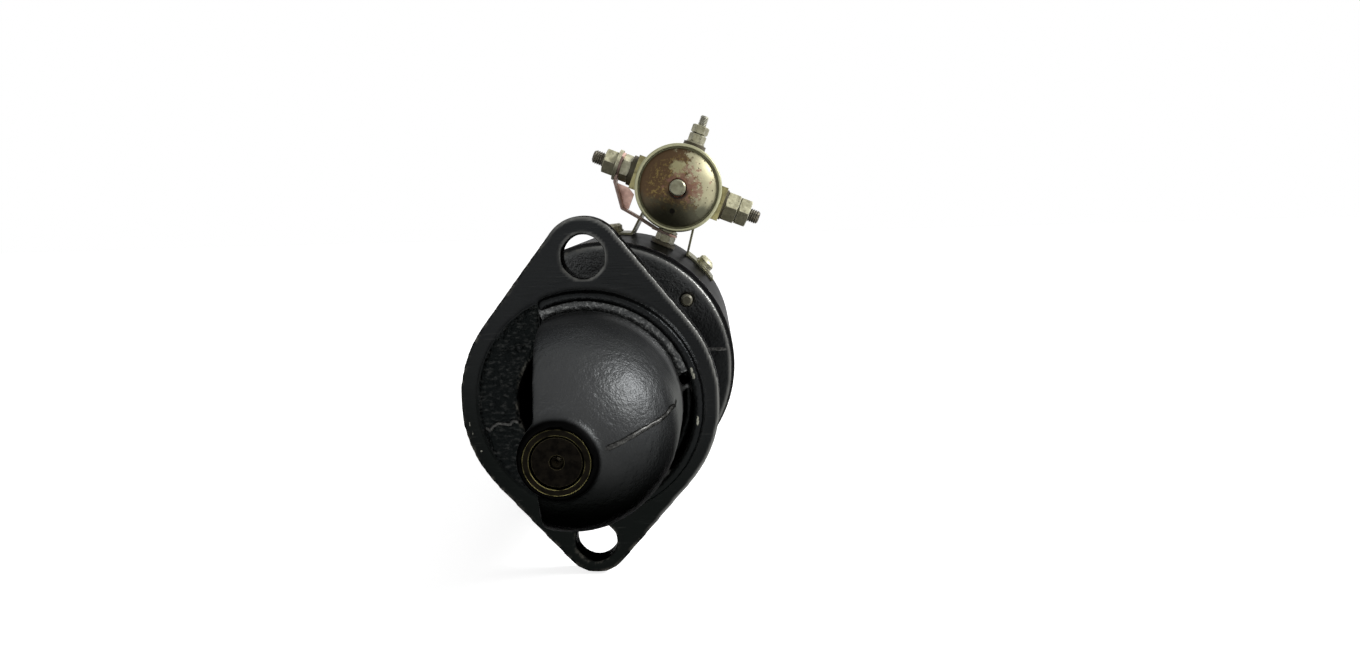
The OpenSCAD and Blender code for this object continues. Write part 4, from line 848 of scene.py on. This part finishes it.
spring_steel = machined_steel("spring_steel", tint(104, 102, 96), tint(44, 40, 36), 0.6, 0.32, None)
travel = {joint["name"]: joint["range_m"][1] for joint in frame["record"]["behaviour"]["joints"]
          if "range_m" in joint}


def closing_coil(cad_node, body, joint, towards_seat):
    """The CAD node's coil as a smooth copy in spring steel; the share (length - travel) / length is worked
    out but not applied, so the coil keeps its full length.
    """
    low, high = (np.array(corner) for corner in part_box(cad_node))
    way = np.array(towards_seat, float)
    coil = smooth(merged_copy(cad_node + "_coil", cad_node))
    coil.data.materials.clear()
    coil.data.materials.append(spring_steel)
    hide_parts(cad_node)
    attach(coil, body)
    1 - travel[joint] / abs((high - low) @ way)
    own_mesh(coil)


for number, towards_seat in enumerate([(1, 0, 0), (0, 0, 1), (-1, 0, 0), (0, 0, -1)], 1):
    closing_coil(f"brush_spring_{number}", "motor", f"brush_{number}_lift", towards_seat)
closing_coil("anti_drift_spring", "armature", "pinion_travel", (0, -1, 0))
closing_coil("return_spring", "motor", "button_push", (0, 1, 0))

# ---- Studs and nuts of the switch ----
# Two heavy studs take the battery cable and the strap, and a small one the coil's wire.
# Their rolled threads are dark, and the nuts are zinc plated.

STUD_R = 0.004
STUD_PITCH = 0.00125
SMALL_STUD_R = 0.0025
SMALL_PITCH = 0.0008
STUD_MIDDLE = Vector(SWITCH_AXIS) + Vector((0, STUD_Y, 0))
SQUARE_HEAD = (0.006, 0.0045)
HEAD_THICK = 0.004
BATTERY_STUD = (0.007, 0.0262, 0.0488)
MOTOR_STUD = (0.007, 0.0262, 0.0521)
COIL_STUD = (0.01725, 0.0236, 0.0425)


def threaded_stud(cad_node, ahead, radius, pitch, heights, material, square_head=True):
    """A stud along ahead; heights are its foot, the start of its thread and its tip, from the
    middle of the switch. The radius of its block of a head at a turn is that of a rectangle;
    past the plain part, at turn a and height h, its radius falls by a rounded saw wave of
    (h / pitch - a / turn), and its tip is chamfered."""
    foot, plain, tip = heights
    beside = ahead.cross(Vector((0, 1, 0)))
    turn = np.linspace(0, 2 * math.pi, 48, endpoint=False)
    rise = np.concatenate([np.arange(plain, tip, pitch / 6), [tip]])
    phase = rise[:, None] / pitch - turn[None, :] / (2 * math.pi)
    groove = 0.5 - 0.5 * np.cos(2 * math.pi * phase)
    depth = 0.56 * pitch * groove ** 0.8 * between(rise, plain, plain + pitch)[:, None]
    chamfer = np.maximum(0, rise - (tip - 0.9 * pitch))[:, None]
    reach = radius - np.maximum(depth, chamfer)
    start, shank = [foot], [np.full(48, radius)]
    if square_head:
        block = np.minimum(SQUARE_HEAD[0] / np.maximum(np.abs(np.cos(turn)), 1e-6),
                           SQUARE_HEAD[1] / np.maximum(np.abs(np.sin(turn)), 1e-6))
        start, shank = [foot, foot + HEAD_THICK, foot + HEAD_THICK], [block, block] + shank
    rise = np.concatenate([start, rise])
    reach = np.concatenate([shank, reach])
    spoke = np.cos(turn)[:, None] * np.array(beside) + np.sin(turn)[:, None] * np.array((0.0, 1.0, 0.0))
    rings = np.array(STUD_MIDDLE) + rise[:, None, None] * np.array(ahead) + reach[:, :, None] * spoke[None]
    stud = skin_over(cad_node + "_thread", rings[:, ::-1], material)
    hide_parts(cad_node)
    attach(stud, "motor")


def dark_thread():
    """Rolled steel thread under soot, brighter along its edges."""
    steel = Finish("dark_thread", Metallic=0.8)
    soot = steel.noise(0.0024, 4.0, 0.6)
    worn = steel.corners(0.0002)
    colour = steel.mix(soot.step(0.35, 0.65), tint(86, 80, 68), tint(40, 37, 32))
    colour = steel.mix(worn * 0.4, colour, tint(150, 146, 130))
    return steel.coat(colour, 0.36 + 0.2 * soot, soot, 0.00002)


thread_steel = dark_thread()
threaded_stud("battery_stud", ACROSS, STUD_R, STUD_PITCH, BATTERY_STUD, thread_steel)
threaded_stud("motor_stud", -ACROSS, STUD_R, STUD_PITCH, MOTOR_STUD, thread_steel)
threaded_stud("coil_stud", UPWARD, SMALL_STUD_R, SMALL_PITCH, COIL_STUD,
              zinc_plate("small_thread_zinc", tint(150, 150, 132), tint(104, 102, 86)), square_head=False)
dress(zinc_plate("nut_zinc", tint(196, 193, 162), tint(140, 136, 108), 0.34, 0.12), "stud_nuts",
      "coil_stud_nuts", "bracket_screws", "terminal_nuts")

# ---- Copper strap ----
# One piece of copper strip, cut and folded: an eye on the left stud, a blade down beside the
# switch and a foot on the motor terminal. Its flat is pale and its cut edges are dark.

STRAP_FRONT = 0.125


def strap_copper():
    """Copper strip: pale pink on its flats, dark on its front cut edge and painted darker brown low down,
    as shade under the switch.
    """
    strip = Finish("strap_copper", Metallic=0.45)
    tarnish = strip.noise(0.006, 4.0, 0.6)
    cut_edge = strip.along("Y").step(STRAP_FRONT + 0.0004, STRAP_FRONT + 0.0001)
    # Painted shade: the strap is painted darker brown low down, below the switch.
    under = strip.along("Z").step(0.0775, 0.0735)
    drawn = strip.noise(0.0006, 2.0, 0.5, stretch=(1.0, 1.0, 10.0))
    colour = strip.mix(tarnish.step(0.35, 0.65), tint(226, 192, 178), tint(190, 152, 138))
    colour = strip.mix(under * 0.7, colour, tint(92, 68, 56))
    colour = strip.mix(cut_edge * 0.85, colour, tint(62, 50, 42))
    return strip.coat(colour, 0.34 + 0.2 * tarnish, drawn, 0.00002, 0.0002)


dress(strap_copper(), "copper_strap")

# ---- Floor, light and camera ----
# The motor hangs just clear of a pale floor, in front of a world that is white to the camera
# and dimmer to the motor. The key lamp stands high on the right, level with the motor, and two
# weak ones fill in from the front and from above behind.

FLOOR_Z = cad_box[0].z - 0.0005
WORLD_TO_MOTOR, WORLD_TO_CAMERA = 0.24, 1.0
CAMERA_PLACE = (0.05245, -0.33465, 0.08776)
CAMERA_YAW, CAMERA_PITCH, CAMERA_ROLL = 0.037, -0.171, -0.029
CAMERA_LENS = 21.18

bpy.ops.mesh.primitive_plane_add(size=6, location=(0, 0, FLOOR_Z))
ground = bpy.context.object
ground.name = "ground"
pale = Finish("pale_ground", Roughness=0.9, Specular_IOR_Level=0.1)
seen = pale.node("ShaderNodeLightPath", output="Is Camera Ray")
glossy = pale.node("ShaderNodeLightPath", output="Is Glossy Ray")
far = pale.radius((0, 0.05, 0)).step(0.15, 0.9)
glow = pale.mix(far, (0.8, 0.8, 0.8, 1), (1.3, 1.3, 1.3, 1))
pale.coat(tint(215, 215, 215))
pale.tree.links.new(glow.socket, pale.shader.inputs["Emission Color"])
pale.tree.links.new((seen + glossy).socket, pale.shader.inputs["Emission Strength"])
ground.data.materials.append(pale.material)

world = bpy.data.worlds.new("studio")
bpy.context.scene.world = world
world.use_nodes = True
air = world.node_tree
path = air.nodes.new("ShaderNodeLightPath")
bright = path.outputs["Is Camera Ray"]
for kind in ("Is Glossy Ray", "Is Transmission Ray"):
    either = air.nodes.new("ShaderNodeMath")
    either.operation = "MAXIMUM"
    air.links.new(bright, either.inputs[0])
    air.links.new(path.outputs[kind], either.inputs[1])
    bright = either.outputs[0]
level = air.nodes.new("ShaderNodeMapRange")
air.links.new(bright, level.inputs[0])
level.inputs["To Min"].default_value = WORLD_TO_MOTOR
level.inputs["To Max"].default_value = WORLD_TO_CAMERA
air.links.new(level.outputs[0], air.nodes["Background"].inputs["Strength"])
air.nodes["Background"].inputs["Color"].default_value = (1, 1, 1, 1)


def lamp(name, place, aim, size, power):
    """A round soft lamp of this width and power, turned from its place towards its aim."""
    light = bpy.data.lights.new(name, "AREA")
    light.shape, light.size, light.energy = "DISK", size, power
    holder = bpy.data.objects.new(name, light)
    holder.location = place
    holder.rotation_euler = (Vector(aim) - Vector(place)).to_track_quat("-Z", "Y").to_euler()
    bpy.context.scene.collection.objects.link(holder)


lamp("key", (1.06, 0.12, 0.70), (0, 0.02, 0.01), 0.50, 23)
lamp("window", (-0.22, -1.35, 0.22), (0, 0.05, 0.02), 0.6, 2.5)
lamp("top", (-0.22, 0.80, 1.00), (0, 0, 0), 0.8, 2)

view_data = bpy.data.cameras.new("viewpoint")
view_data.lens, view_data.sensor_width, view_data.sensor_fit = CAMERA_LENS, 36, "HORIZONTAL"
view_data.clip_start, view_data.clip_end = 0.01, 50
viewpoint = bpy.data.objects.new("viewpoint", view_data)
turned = Matrix.Rotation(CAMERA_YAW, 3, "Z") @ Matrix.Rotation(CAMERA_PITCH, 3, "X")
right, ahead, above = turned.col
right = right * math.cos(CAMERA_ROLL) + above * math.sin(CAMERA_ROLL)
above = ahead.cross(right) * -1
pose = Matrix((right, above, -ahead)).transposed().to_4x4()
pose.translation = Vector(CAMERA_PLACE)
viewpoint.matrix_world = pose
bpy.context.scene.collection.objects.link(viewpoint)
bpy.context.scene.camera = viewpoint
bpy.context.scene.view_settings.view_transform = "Standard"
